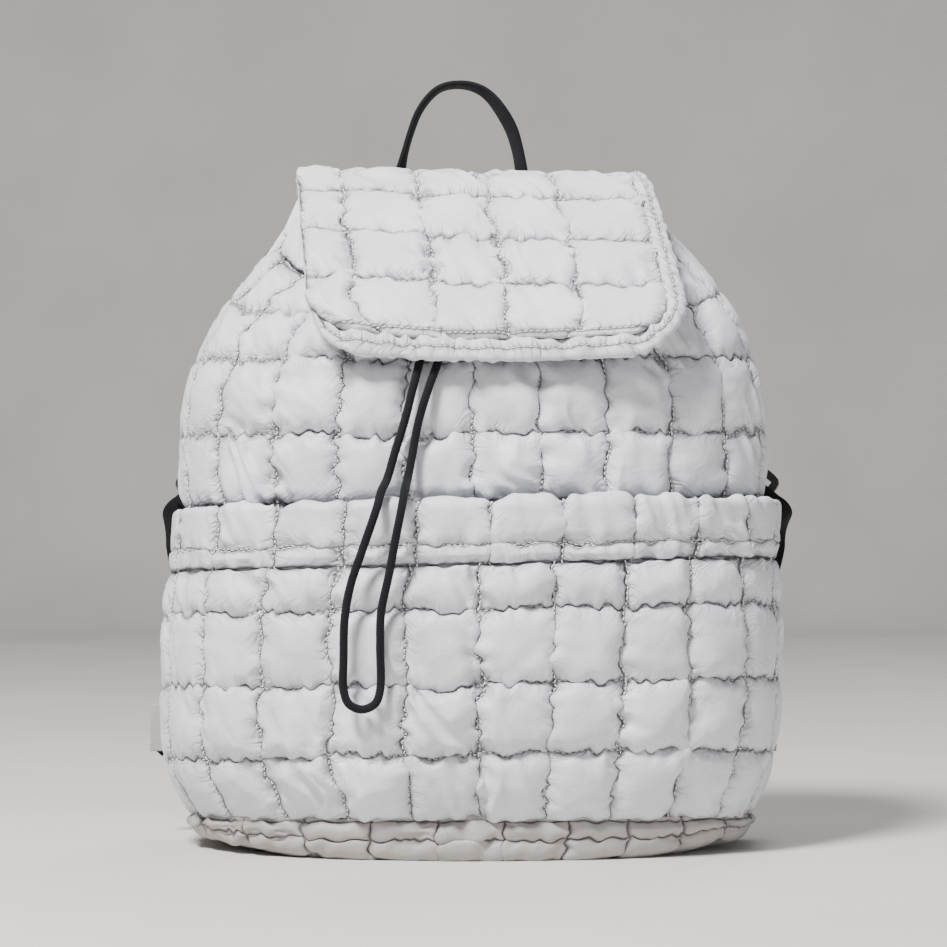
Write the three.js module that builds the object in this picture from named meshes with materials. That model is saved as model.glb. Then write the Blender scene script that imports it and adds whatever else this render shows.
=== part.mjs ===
import * as THREE from "three";

// Overall sizes of the standing bag in millimetres, +Z up and its front towards -Y
const BODY_HEIGHT = 372; // floor to the top edge of the back panel
const HALF_WIDTH = 174; // middle to the side seams of the widest row
const FRONT_REACH = 86; // middle plane to the front seams of the pocket
const BACK_REACH = 62; // middle plane to the back panel
const WIDEST_REACH = 25; // middle plane to the widest line of the sides
const SEAM_INSET = 24; // side seams to the seams between the wrap and the back panel
const SEAM_HALF = HALF_WIDTH - SEAM_INSET;

// Quilting
const SEAM_WALL = 2.6; // cloth and padding where a seam presses them flat
const PUFF = 7.5; // rise of a cell above its seams
const BACK_PUFF = 5; // rise of a cell on the back panel
const HEM_PUFF = 5.5; // rise of the gathers on the pocket hem
const CASING_PUFF = 2.6; // rise of the gathers on the mouth casing
const CELL_EDGE = 0.24; // share of a cell that its sloping border takes
const COLUMNS_PER_SIDE = 7; // cells from the middle of the front to a back seam
const BACK_COLUMNS = 8; // cells across the back panel
const CLEARANCE = 0.35; // gap between sewn pieces
const POCKET_SEAM_GAP = 4; // between the two walls where the back seam takes both

// Form of the level sections, as powers of a superellipse
const FRONT_POWER = 2.3;
const BACK_POWER = 4;
const SECTION_STEPS = 40;

// Rows of the main wrap. front, side and back are heights as shares of BODY_HEIGHT,
// width is a share of HALF_WIDTH, reach of FRONT_REACH, seam of SEAM_HALF,
// and puff is the share of PUFF in the row that starts there.
const BODY_ROWS = [
  { front: 0.059, side: 0.043, back: 0.038, width: 0.845, reach: 0.667, seam: 0.9, puff: 0 },
  { front: 0.161, side: 0.134, back: 0.124, width: 0.92, reach: 0.763, seam: 0.96, puff: 0 },
  { front: 0.261, side: 0.247, back: 0.237, width: 0.937, reach: 0.791, seam: 0.98, puff: 0 },
  { front: 0.371, side: 0.355, back: 0.344, width: 0.94, reach: 0.791, seam: 0.98, puff: 0 },
  { front: 0.527, side: 0.522, back: 0.516, width: 0.945, reach: 0.791, seam: 0.973, puff: 1 },
  { front: 0.626, side: 0.629, back: 0.629, width: 0.952, reach: 0.791, seam: 0.96, puff: 1 },
  { front: 0.737, side: 0.745, back: 0.753, width: 0.902, reach: 0.721, seam: 0.92, puff: 0.7 },
  { front: 0.801, side: 0.836, back: 0.858, width: 0.799, reach: 0.546, seam: 0.82, puff: 0.35 },
  { front: 0.833, side: 0.914, back: 0.949, width: 0.632, reach: 0.315, seam: 0.667, puff: 1 },
  { front: 0.86, side: 0.946, back: 0.997, width: 0.569, reach: 0.191, seam: 0.613, puff: 1 },
];
const POCKET_BOTTOM = 0;
const HIDDEN_TOP = 4; // the wrap is flat up to here, behind the pocket
const CASING_LEVEL = 8;
const RIM_LEVEL = 9;

// Rows of the front pocket, with the same columns
const POCKET_ROWS = [
  { front: 0.059, side: 0.043, back: 0.038, width: 0.902, reach: 0.805, seam: 0.9, puff: 1 },
  { front: 0.161, side: 0.134, back: 0.124, width: 0.989, reach: 0.963, seam: 0.96, puff: 1 },
  { front: 0.261, side: 0.247, back: 0.237, width: 1.003, reach: 1, seam: 0.98, puff: 1 },
  { front: 0.371, side: 0.355, back: 0.344, width: 1, reach: 1, seam: 0.98, puff: 0.7 },
  { front: 0.435, side: 0.422, back: 0.411, width: 0.987, reach: 0.99, seam: 0.98, puff: 0.55 },
  { front: 0.464, side: 0.452, back: 0.444, width: 0.991, reach: 1, seam: 0.985, puff: 1 },
  { front: 0.535, side: 0.527, back: 0.522, width: 0.986, reach: 1, seam: 0.99, puff: 1 },
];
const HEM_LEVEL = 4;
const HEM_TOP = 6;

// Base panel, a padded dish. scale is a share of the bottom outline, lift a share of
// BASE_RIM, side_lift the share that the left and right ends rise by.
const BASE_RIM = 21; // depth of the dish at the front
const BASE_WALL = 8; // padding of its floor
const BASE_LIP = 12; // width of the rim that both walls stand on
const BASE_PUFF = 3.5;
const BASE_LOWER_SCALE = 0.92;
const BASE_SIDE_LIFT = 9;
const BASE_FLAT_X = 0.6; // share of the outline that lies flat on the floor
const BASE_FLAT_Y = 0.72;
const BACK_LIP = 3; // back panel past the pocket's back seam

// Flap. along is the share of the way from its root to its front edge, height a share
// of BODY_HEIGHT. The rows of cells lie between the fold and the hem.
const FLAP_FRONT = 83; // middle plane to its front edge
const FLAP_PROFILE = [
  { along: 0, height: 0.999 },
  { along: 0.007, height: 1.04 },
  { along: 0.06, height: 1.052 },
  { along: 0.311, height: 1.011 },
  { along: 0.53, height: 0.946 },
  { along: 0.735, height: 0.874 },
  { along: 0.917, height: 0.793 },
  { along: 1, height: 0.731 },
];
const FLAP_HALF_BACK = 100.5;
const FLAP_HALF_FRONT = 105;
const FLAP_SHIFT_BACK = -4; // the flap lies a little askew
const FLAP_SHIFT_FRONT = 14;
const FLAP_CORNER = 24;
const FLAP_COLUMNS = [-1, -0.66, -0.25, 0.15, 0.55, 1]; // seams as shares of its half width
const FLAP_CELL_ROWS = 4;
const FLAP_PUFF = 6;
const FLAP_ROOT_ROW = 25; // cloth from the root to the fold
const BORDER_HEM = 21; // width of the ruched border along the front
const BORDER_SIDE = 9;
const BORDER_PUFF = 3.5;
const BORDER_GAP = 2 * CLEARANCE;
const BORDER_STEP = 11; // spacing of its gathers

// Grab handle of narrow webbing
const HANDLE_WIDTH = 10;
const HANDLE_THICKNESS = 3;
const HANDLE_SPAN = 73;
const HANDLE_SHIFT = -7; // its middle lies left of the bag's
const HANDLE_TOP = 1.182; // height as a share of BODY_HEIGHT
const HANDLE_SEAT = 0.937;

// Drawcord
const CORD_DIAMETER = 4.8;
const CORD_SIDES = 10;
const CORD_STEPS = 56;
const CORD_EXIT_WIDTH = 24;
const CORD_EXIT_LENGTH = 10;
const CORD_EXIT_THICKNESS = 7;
const CORD_EXIT_COLUMN = -0.98;
const CORD_EXIT_LEVEL = 8.45;
const CORD_ROUTE = [
  [-28, -30.8, 315.2],
  [-28, -34.6, 312.2],
  [-28.2, -40.6, 309.4],
  [-28.4, -48.4, 304.8],
  [-28.5, -59.4, 296],
  [-28.5, -67.6, 285],
  [-28.8, -72.6, 274],
  [-33, -77, 256],
  [-37.5, -78.6, 238],
  [-42.5, -79, 222],
  [-46.5, -82, 208],
  [-49.5, -90, 201],
  [-52, -95.8, 191.5],
  [-59.1, -95.8, 170.8],
  [-66.1, -95.6, 149.8],
  [-69, -95.6, 132.6],
  [-69.6, -95.4, 111.7],
  [-69.5, -95, 94],
  [-66.7, -94.9, 87.1],
  [-59.8, -94.8, 84.2],
  [-52.9, -94.9, 87.1],
  [-50.1, -95.2, 94],
  [-50, -96, 118.7],
  [-49.5, -96.2, 135.9],
  [-45.2, -96.2, 156.8],
  [-41.9, -96, 174.8],
  [-38.6, -95.8, 191.5],
  [-37, -90, 201],
  [-35.5, -82, 208],
  [-33.2, -79, 220],
  [-29.6, -78.6, 239],
  [-24.2, -77, 257],
  [-18.6, -72.6, 273.5],
  [-17.6, -67.6, 285],
  [-17.6, -59.6, 296.1],
  [-17.8, -48.4, 304.8],
  [-18, -40.6, 309.4],
  [-18, -34.6, 312.2],
  [-18, -30.8, 315.2],
];

// Shoulder straps. across is a share of HALF_WIDTH, height of BODY_HEIGHT,
// off is the distance behind the back panel, width a share of STRAP_WIDTH.
const STRAP_WIDTH = 54;
const STRAP_THICKNESS = 10;
const STRAP_SEAM = 0.55; // share of its thickness left at a seam
const STRAP_STANDOFF = 26; // its farthest from the back panel
const STRAP_ROUTE = [
  { across: 0.23, height: 0.91, off: CLEARANCE + STRAP_SEAM * STRAP_THICKNESS / 2, width: 0.8 },
  { across: 0.27, height: 0.865, off: 0.5 * STRAP_STANDOFF, width: 0.9 },
  { across: 0.38, height: 0.775, off: 0.92 * STRAP_STANDOFF, width: 1 },
  { across: 0.54, height: 0.69, off: STRAP_STANDOFF, width: 1 },
  { across: 0.71, height: 0.61, off: 0.77 * STRAP_STANDOFF, width: 0.86 },
  { across: 0.83, height: 0.562, off: 0.54 * STRAP_STANDOFF, width: 0.56 },
];
const SLIDER_WIDTH = 36;
const SLIDER_LENGTH = 27;
const SLIDER_THICKNESS = 5;
const SLIDER_BAR = 4.5;
const SLIDER_CORNER = 6;
const WEBBING_WIDTH = 20;
const WEBBING_THICKNESS = 2;
const WEBBING_GAP = 0.8; // to the ladder lock
const ANCHOR_LENGTH = 40; // along the back seam
const ANCHOR_REACH = 38; // outward from the back seam
const ANCHOR_THICKNESS = 3;
const ANCHOR_HEIGHT = 0.185; // middle, as a share of BODY_HEIGHT
const ANCHOR_FACE = 2 * CLEARANCE + ANCHOR_THICKNESS + WEBBING_THICKNESS / 2;
const WEBBING_ROUTE = [
  { across: 0.95, height: 0.455, off: 0.58 * STRAP_STANDOFF },
  { across: 0.905, height: 0.36, off: 0.54 * STRAP_STANDOFF },
  { across: 0.895, height: 0.26, off: ANCHOR_FACE + 3 * CLEARANCE },
  { across: 0.925, height: 0.165, off: ANCHOR_FACE + CLEARANCE },
];
// The two straps hang a little differently: shares of HALF_WIDTH for pad, webbing and anchor
const STRAPS = [
  { side: "left", mirror: -1, pad: 1, webbing: 1.035, anchor: 1.035 },
  { side: "right", mirror: 1, pad: 1.03, webbing: 1.05, anchor: 0.97 },
];

const materials = {
  nylon: new THREE.MeshStandardMaterial({ color: 0xdcdce1, roughness: 0.62, metalness: 0 }),
  shadedNylon: new THREE.MeshStandardMaterial({ color: 0xcfcdca, roughness: 0.66, metalness: 0 }),
  webbing: new THREE.MeshStandardMaterial({ color: 0x1d1e24, roughness: 0.8, metalness: 0 }),
  cord: new THREE.MeshStandardMaterial({ color: 0x22242b, roughness: 0.75, metalness: 0 }),
  plastic: new THREE.MeshStandardMaterial({ color: 0x16171b, roughness: 0.4, metalness: 0 }),
};

const backFace = BACK_REACH + CLEARANCE + SEAM_WALL;
const group = new THREE.Group();

function addMesh(name, geometry, material) {
  const mesh = new THREE.Mesh(geometry, material.clone());
  mesh.name = name;
  group.add(mesh);
  return mesh;
}

// A closed body from points and triangles, turned so that its faces point out
class Solid {
  constructor() {
    this.points = [];
    this.triangles = [];
  }

  add(point) {
    this.points.push(point);
    return this.points.length - 1;
  }

  triangle(a, b, c) {
    this.triangles.push([a, b, c]);
  }

  // Grid of points given row by row; returns its indices
  surface(rows, flipped) {
    const index = rows.map((row) => row.map((point) => this.add(point)));
    for (let j = 0; j + 1 < rows.length; j++) {
      for (let i = 0; i + 1 < rows[j].length; i++) {
        const [a, b, c, d] = [index[j][i], index[j][i + 1], index[j + 1][i + 1], index[j + 1][i]];
        if (flipped) {
          this.triangle(a, c, b);
          this.triangle(a, d, c);
        } else {
          this.triangle(a, b, c);
          this.triangle(a, c, d);
        }
      }
    }
    return index;
  }

  // Strip between two lines of indices that may have different counts
  zip(first, second) {
    let i = 0;
    let j = 0;
    while (i < first.length - 1 || j < second.length - 1) {
      const nextFirst = i < first.length - 1 ? (i + 1) / (first.length - 1) : Infinity;
      const nextSecond = j < second.length - 1 ? (j + 1) / (second.length - 1) : Infinity;
      if (nextFirst <= nextSecond) {
        this.triangle(first[i], second[j], first[i + 1]);
        i++;
      } else {
        this.triangle(first[i], second[j], second[j + 1]);
        j++;
      }
    }
  }

  geometry() {
    let volume = 0;
    for (const [a, b, c] of this.triangles) {
      const [p, q, r] = [this.points[a], this.points[b], this.points[c]];
      volume += p.dot(new THREE.Vector3().crossVectors(q, r));
    }
    const index = this.triangles.flatMap(([a, b, c]) => (volume < 0 ? [a, c, b] : [a, b, c]));
    const geometry = new THREE.BufferGeometry().setFromPoints(this.points);
    geometry.setIndex(index);
    geometry.computeVertexNormals();
    return geometry;
  }
}

// Two faces of a padded sheet, closed along their four edges
function sheetGeometry(outerRows, innerRows) {
  const solid = new Solid();
  const outer = solid.surface(outerRows, false);
  const inner = solid.surface(innerRows, true);
  const left = (grid) => grid.map((row) => row[0]);
  const right = (grid) => grid.map((row) => row[row.length - 1]);
  solid.zip(outer[0], inner[0]);
  solid.zip(inner[inner.length - 1], outer[outer.length - 1]);
  solid.zip(left(inner), left(outer));
  solid.zip(right(outer), right(inner));
  return solid.geometry();
}

// Closed loops from one middle point to another
function loopGeometry(start, loops, end) {
  const solid = new Solid();
  const index = loops.map((loop) => loop.map((point) => solid.add(point)));
  const count = loops[0].length;
  for (let k = 0; k + 1 < loops.length; k++) {
    for (let i = 0; i < count; i++) {
      const next = (i + 1) % count;
      solid.triangle(index[k][i], index[k][next], index[k + 1][next]);
      solid.triangle(index[k][i], index[k + 1][next], index[k + 1][i]);
    }
  }
  const first = solid.add(start);
  const last = solid.add(end);
  for (let i = 0; i < count; i++) {
    const next = (i + 1) % count;
    solid.triangle(first, index[0][next], index[0][i]);
    solid.triangle(last, index[loops.length - 1][i], index[loops.length - 1][next]);
  }
  return solid.geometry();
}

// Smooth value of a table's column at a level between its rows
function columnValue(rows, column, level) {
  const last = rows.length - 1;
  const index = Math.min(Math.floor(level), last - 1);
  const t = level - index;
  const at = (i) => rows[THREE.MathUtils.clamp(i, 0, last)][column];
  const [a, b, c, d] = [at(index - 1), at(index), at(index + 1), at(index + 2)];
  return b + 0.5 * t * (c - a + t * (2 * a - 5 * b + 4 * c - d + t * (3 * (b - c) + d - a)));
}

// Half of a level section, from the middle of the front to the back seam
function halfSection(width, reach, seam) {
  const points = [];
  const frontDepth = WIDEST_REACH + reach;
  for (let i = 0; i <= SECTION_STEPS; i++) {
    const angle = ((i / SECTION_STEPS) * Math.PI) / 2;
    const x = width * Math.sin(angle) ** (2 / FRONT_POWER);
    const y = WIDEST_REACH - frontDepth * Math.max(Math.cos(angle), 0) ** (2 / FRONT_POWER);
    points.push(new THREE.Vector2(x, y));
  }
  const share = seam / width;
  const backDepth = (BACK_REACH - WIDEST_REACH) / (1 - share ** BACK_POWER) ** (1 / BACK_POWER);
  const end = Math.acos(share ** (BACK_POWER / 2));
  for (let i = 1; i <= SECTION_STEPS; i++) {
    const angle = (i / SECTION_STEPS) * end;
    const x = width * Math.cos(angle) ** (2 / BACK_POWER);
    const y = WIDEST_REACH + backDepth * Math.sin(angle) ** (2 / BACK_POWER);
    points.push(new THREE.Vector2(x, y));
  }
  return points;
}

// Point at a share of the length of a line of points
function pointAlong(points, share) {
  const lengths = [0];
  for (let i = 1; i < points.length; i++) {
    lengths.push(lengths[i - 1] + points[i].distanceTo(points[i - 1]));
  }
  const wanted = share * lengths[lengths.length - 1];
  let i = 1;
  while (i < points.length - 1 && lengths[i] < wanted) {
    i++;
  }
  const t = (wanted - lengths[i - 1]) / (lengths[i] - lengths[i - 1]);
  return points[i - 1].clone().lerp(points[i], t);
}

// Seam surface of a wrap: column 0 is the middle of the front, level counts its rows
function wrapSurface(rows, seamOffset) {
  return (column, level) => {
    const width = HALF_WIDTH * columnValue(rows, "width", level);
    const reach = FRONT_REACH * columnValue(rows, "reach", level);
    const seam = SEAM_HALF * columnValue(rows, "seam", level) + seamOffset;
    const share = Math.min(Math.abs(column) / COLUMNS_PER_SIDE, 1);
    const flat = pointAlong(halfSection(width, reach, seam), share);
    const [front, side, back] = ["front", "side", "back"].map(
      (name) => BODY_HEIGHT * columnValue(rows, name, level),
    );
    const z = heightAt(flat.y, reach, front, side, back);
    return new THREE.Vector3(Math.sign(column) * flat.x, flat.y, z);
  };
}

// Height of a tilted section, smooth from its front over its side to its back
function heightAt(y, reach, front, side, back) {
  const [a, b, c] = [-reach, WIDEST_REACH, BACK_REACH];
  const first = (front * (y - b) * (y - c)) / ((a - b) * (a - c));
  const second = (side * (y - a) * (y - c)) / ((b - a) * (b - c));
  const third = (back * (y - a) * (y - b)) / ((c - a) * (c - b));
  return first + second + third;
}

const NORMAL_STEP = 0.02;

function surfaceNormal(surface, column, level, limits) {
  const [left, right] = [column - NORMAL_STEP, column + NORMAL_STEP];
  const low = Math.max(level - NORMAL_STEP, limits[0]);
  const high = Math.min(level + NORMAL_STEP, limits[1]);
  const across = surface(right, level).sub(surface(left, level));
  const up = surface(column, high).sub(surface(column, low));
  return across.cross(up).normalize();
}

// Places between seams: each seam, and the two shoulders of each cell
function cellStops(seams) {
  const stops = [];
  for (let k = 0; k + 1 < seams.length; k++) {
    const size = seams[k + 1] - seams[k];
    stops.push({ at: seams[k], rise: 0, cell: k });
    stops.push({ at: seams[k] + CELL_EDGE * size, rise: 1, cell: k });
    stops.push({ at: seams[k + 1] - CELL_EDGE * size, rise: 1, cell: k });
  }
  stops.push({ at: seams[seams.length - 1], rise: 0, cell: seams.length - 2 });
  return stops;
}

function range(from, to, count) {
  return Array.from({ length: count + 1 }, (_, i) => from + ((to - from) * i) / count);
}

const wrapColumns = range(-COLUMNS_PER_SIDE, COLUMNS_PER_SIDE, 2 * COLUMNS_PER_SIDE);

// Quilted wall that follows a wrap surface between two levels
function quiltedWrap(surface, rows, levelSeams, puffHeight, limits) {
  const columns = cellStops(wrapColumns);
  const puffed = (level) => rows[Math.min(Math.floor(level + 1e-6), rows.length - 1)].puff;
  const levels = cellStops(levelSeams).filter((stop) => stop.rise === 0 || puffed(stop.at) > 0);
  const place = (column, level, rise) => {
    const inside = THREE.MathUtils.clamp(column, NORMAL_STEP - COLUMNS_PER_SIDE, COLUMNS_PER_SIDE - NORMAL_STEP);
    const normal = surfaceNormal(surface, inside, level, limits);
    const point = surface(column, level).addScaledVector(normal, rise);
    point.y = Math.min(point.y, BACK_REACH);
    return point;
  };
  const outer = levels.map((level) =>
    columns.map((column) => {
      const rise = puffHeight * puffed(level.at) * level.rise * column.rise;
      return place(column.at, level.at, rise);
    }),
  );
  const innerColumns = range(-COLUMNS_PER_SIDE, COLUMNS_PER_SIDE, 4 * COLUMNS_PER_SIDE);
  const inner = levelSeams.map((level) =>
    innerColumns.map((column) => place(column, level, -SEAM_WALL)),
  );
  return sheetGeometry(outer, inner);
}

// Share of a row that a gap of CLEARANCE takes
function rowGap(rows, level) {
  return CLEARANCE / (BODY_HEIGHT * (rows[level + 1].back - rows[level].back));
}

const bodySurface = wrapSurface(BODY_ROWS, 0);
const pocketSurface = wrapSurface(POCKET_ROWS, SEAM_WALL + POCKET_SEAM_GAP);
const bodyLimits = [0, RIM_LEVEL];
const pocketLimits = [0, HEM_TOP];

function bodyWrap() {
  const casingEdge = CASING_LEVEL - rowGap(BODY_ROWS, CASING_LEVEL - 1);
  const seams = [...range(POCKET_BOTTOM, CASING_LEVEL - 1, CASING_LEVEL - 1), casingEdge];
  return quiltedWrap(bodySurface, BODY_ROWS, seams, PUFF, bodyLimits);
}

function mouthCasing() {
  const seams = [CASING_LEVEL + rowGap(BODY_ROWS, CASING_LEVEL), RIM_LEVEL];
  return quiltedWrap(bodySurface, BODY_ROWS, seams, CASING_PUFF, bodyLimits);
}

function frontPocket() {
  const hemEdge = HEM_LEVEL - rowGap(POCKET_ROWS, HEM_LEVEL - 1);
  const seams = [...range(POCKET_BOTTOM, HEM_LEVEL - 1, HEM_LEVEL - 1), hemEdge];
  return quiltedWrap(pocketSurface, POCKET_ROWS, seams, PUFF, pocketLimits);
}

function pocketHem() {
  const seams = [HEM_LEVEL + rowGap(POCKET_ROWS, HEM_LEVEL), HEM_LEVEL + 1, HEM_TOP];
  return quiltedWrap(pocketSurface, POCKET_ROWS, seams, HEM_PUFF, pocketLimits);
}

function backPanel() {
  const levels = range(0, RIM_LEVEL, RIM_LEVEL);
  const columnSeams = range(-1, 1, BACK_COLUMNS);
  const place = (share, level, y) => {
    const seam = SEAM_HALF * columnValue(BODY_ROWS, "seam", level);
    const half = seam + SEAM_WALL + POCKET_SEAM_GAP + BACK_LIP;
    const z = BODY_HEIGHT * columnValue(BODY_ROWS, "back", level);
    return new THREE.Vector3(-share * half, y, z);
  };
  const outer = cellStops(levels).map((level) =>
    cellStops(columnSeams).map((column) =>
      place(column.at, level.at, backFace + BACK_PUFF * level.rise * column.rise),
    ),
  );
  const inner = levels.map((level) =>
    columnSeams.map((share) => place(share, level, BACK_REACH + CLEARANCE)),
  );
  return sheetGeometry(outer, inner);
}

// Padded dish under both walls and the back panel
function basePanel() {
  const seam = pocketSurface(COLUMNS_PER_SIDE, 0);
  const half = seam.x + BACK_LIP;
  const around = range(-COLUMNS_PER_SIDE, COLUMNS_PER_SIDE, 4 * COLUMNS_PER_SIDE);
  const outline = around.map((column) => pocketSurface(column, 0));
  for (const share of range(1, -1, BACK_COLUMNS)) {
    outline.push(new THREE.Vector3(share * half, backFace, seam.z));
  }
  const rimDrop = outline[0].z;
  const loop = (scaleX, scaleY, height) =>
    outline.map((point, i) => new THREE.Vector3(point.x * scaleX, point.y * scaleY, height(point, i)));
  const rimHeight = (point) => point.z - CLEARANCE;
  const lipX = 1 - BASE_LIP / seam.x;
  const lipY = 1 - BASE_LIP / BACK_REACH;
  const sideLift = (point) => BASE_SIDE_LIFT * (point.x / seam.x) ** 2;
  const bulge = loop(1, 1, (point) => BASE_RIM * 0.3 + sideLift(point) * 0.7).map((point, i) => {
    const swell = 1 + ((i % 2) * BASE_PUFF) / HALF_WIDTH;
    return new THREE.Vector3(point.x * swell, point.y * swell, Math.min(point.z, rimDrop * 0.8));
  });
  const loops = [
    loop(lipX * 0.93, lipY * 0.9, () => BASE_WALL),
    loop(lipX, lipY, rimHeight),
    loop(1, 1, rimHeight),
    bulge,
    loop(BASE_LOWER_SCALE, BASE_LOWER_SCALE, (point) => 1.2 + sideLift(point) * 0.6),
    loop(BASE_FLAT_X, BASE_FLAT_Y, () => 0),
  ];
  return loopGeometry(new THREE.Vector3(0, 0, BASE_WALL), loops, new THREE.Vector3(0, 0, 0));
}

// Flap: a curved sheet, given by distance down from its root and distance from its middle
const flapRoot = backFace + CLEARANCE + SEAM_WALL;
const flapCurve = new THREE.CatmullRomCurve3(
  FLAP_PROFILE.map(
    ({ along, height }) =>
      new THREE.Vector3(0, flapRoot - along * (flapRoot + FLAP_FRONT), height * BODY_HEIGHT),
  ),
);
const flapReach = flapCurve.getLength(); // root to the outer edge of the border
const flapLength = flapReach - BORDER_HEM; // root to the panel's hem

function flapPoint(x, down, lift) {
  const share = THREE.MathUtils.clamp(down / flapReach, 0, 1);
  const point = flapCurve.getPointAt(share);
  const along = flapCurve.getTangentAt(share);
  const out = new THREE.Vector3(0, along.z, -along.y);
  const shift = THREE.MathUtils.lerp(FLAP_SHIFT_BACK, FLAP_SHIFT_FRONT, share);
  return new THREE.Vector3(x + shift, point.y, point.z).addScaledVector(out, lift);
}

function flapHalf(down) {
  const half = THREE.MathUtils.lerp(FLAP_HALF_BACK, FLAP_HALF_FRONT, down / flapLength) - BORDER_SIDE;
  const past = Math.max(down - (flapLength - FLAP_CORNER), 0) / FLAP_CORNER;
  return half - FLAP_CORNER * (1 - Math.sqrt(Math.max(1 - past ** 2, 0)));
}

function flapPanel() {
  const cell = (flapLength - FLAP_ROOT_ROW) / FLAP_CELL_ROWS;
  const rowSeams = [0, ...range(FLAP_ROOT_ROW, flapLength, FLAP_CELL_ROWS)];
  const outer = cellStops(rowSeams).map((row) =>
    cellStops(FLAP_COLUMNS).map((column) => {
      const puff = FLAP_PUFF * row.rise * column.rise * (row.at < FLAP_ROOT_ROW ? 0.3 : 1);
      return flapPoint(column.at * flapHalf(row.at), row.at, puff);
    }),
  );
  const inner = range(0, flapLength, Math.round(flapLength / cell) * 2).map((down) =>
    FLAP_COLUMNS.map((share) => flapPoint(share * flapHalf(down), down, -SEAM_WALL)),
  );
  return sheetGeometry(outer, inner);
}

// Outline of the flap panel down one side, along the front and up the other side
function flapOutline() {
  const side = [];
  const straight = flapLength - FLAP_CORNER;
  const straightSteps = Math.round((straight - FLAP_ROOT_ROW) / BORDER_STEP);
  for (const down of range(FLAP_ROOT_ROW, straight, straightSteps)) {
    side.push(new THREE.Vector2(-flapHalf(down), down));
  }
  for (const angle of range(0, Math.PI / 2, 4).slice(1)) {
    const down = straight + FLAP_CORNER * Math.sin(angle);
    side.push(new THREE.Vector2(-flapHalf(down), down));
  }
  const frontHalf = flapHalf(flapLength);
  const frontSteps = Math.round((2 * frontHalf) / BORDER_STEP);
  const front = range(-frontHalf, frontHalf, frontSteps).slice(1, -1);
  const other = side.map((point) => new THREE.Vector2(-point.x, point.y)).reverse();
  return [...side, ...front.map((x) => new THREE.Vector2(x, flapLength)), ...other];
}

function flapBorder() {
  const outline = flapOutline();
  const normals = outline.map((point, i) => {
    const before = outline[Math.max(i - 1, 0)];
    const after = outline[Math.min(i + 1, outline.length - 1)];
    return new THREE.Vector2(before.y - after.y, after.x - before.x).normalize();
  });
  const place = (i, share, lift) => {
    const normal = normals[i];
    const width = THREE.MathUtils.lerp(BORDER_SIDE, BORDER_HEM, Math.max(normal.y, 0) ** 2);
    const away = BORDER_GAP + share * (width - BORDER_GAP);
    return flapPoint(outline[i].x + normal.x * away, outline[i].y + normal.y * away, lift);
  };
  const across = [
    { share: 0, rise: 0.25 },
    { share: 0.3, rise: 1 },
    { share: 0.75, rise: 0.9 },
    { share: 1, rise: 0 },
  ];
  const outer = across.map(({ share, rise }) =>
    outline.map((_, i) => place(i, share, rise * BORDER_PUFF * (0.55 + 0.45 * (i % 2)))),
  );
  const inner = [0, 1].map((share) => outline.map((_, i) => place(i, share, -SEAM_WALL)));
  return sheetGeometry(outer, inner);
}

// Flat band along a path: side gives its width direction at each point
function bandGeometry(path, sides, widths, thicknesses) {
  const section = [
    [-1, 0],
    [-0.86, 1],
    [0.86, 1],
    [1, 0],
    [0.86, -1],
    [-0.86, -1],
  ];
  const loops = path.map((point, i) => {
    const before = path[Math.max(i - 1, 0)];
    const after = path[Math.min(i + 1, path.length - 1)];
    const along = after.clone().sub(before).normalize();
    const side = sides[i].clone().addScaledVector(along, -sides[i].dot(along)).normalize();
    const face = new THREE.Vector3().crossVectors(along, side);
    return section.map(([a, b]) =>
      point
        .clone()
        .addScaledVector(side, (a * widths[i]) / 2)
        .addScaledVector(face, (b * thicknesses[i]) / 2),
    );
  });
  return loopGeometry(path[0], loops, path[path.length - 1]);
}

const HANDLE_STEPS = 22;
const HANDLE_TAIL = 26; // sewn flat on the back panel under each end

function grabHandle() {
  const seatY = backFace + BACK_PUFF + 2 * CLEARANCE + HANDLE_THICKNESS / 2;
  const seatZ = HANDLE_SEAT * BODY_HEIGHT;
  const topZ = HANDLE_TOP * BODY_HEIGHT - HANDLE_THICKNESS / 2;
  const behind = Math.max(seatY, flapRoot + FLAP_PUFF) + HANDLE_WIDTH * 0.9;
  const half = HANDLE_SPAN / 2;
  const side = [
    new THREE.Vector3(-half, seatY, seatZ),
    new THREE.Vector3(-half, seatY, seatZ + HANDLE_TAIL * 0.6),
    new THREE.Vector3(-half * 0.99, behind, THREE.MathUtils.lerp(seatZ, topZ, 0.48)),
    new THREE.Vector3(-half * 0.82, behind, THREE.MathUtils.lerp(seatZ, topZ, 0.75)),
    new THREE.Vector3(-half * 0.42, behind, THREE.MathUtils.lerp(seatZ, topZ, 0.955)),
  ];
  const mirror = (point) => new THREE.Vector3(-point.x, point.y, point.z);
  const top = new THREE.Vector3(0, behind, topZ);
  const points = [...side, top, ...side.map(mirror).reverse()];
  for (const point of points) {
    point.x += HANDLE_SHIFT;
  }
  const path = new THREE.CatmullRomCurve3(points).getSpacedPoints(HANDLE_STEPS);
  const sides = path.map((_, i) => {
    const share = Math.min(i, HANDLE_STEPS - i) / HANDLE_STEPS;
    const turn = THREE.MathUtils.smoothstep(share, 0.1, 0.3) * (Math.PI / 2);
    return new THREE.Vector3(Math.cos(turn), Math.sin(turn), 0);
  });
  const widths = path.map(() => HANDLE_WIDTH);
  const thicknesses = path.map(() => HANDLE_THICKNESS);
  return bandGeometry(path, sides, widths, thicknesses);
}

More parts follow.
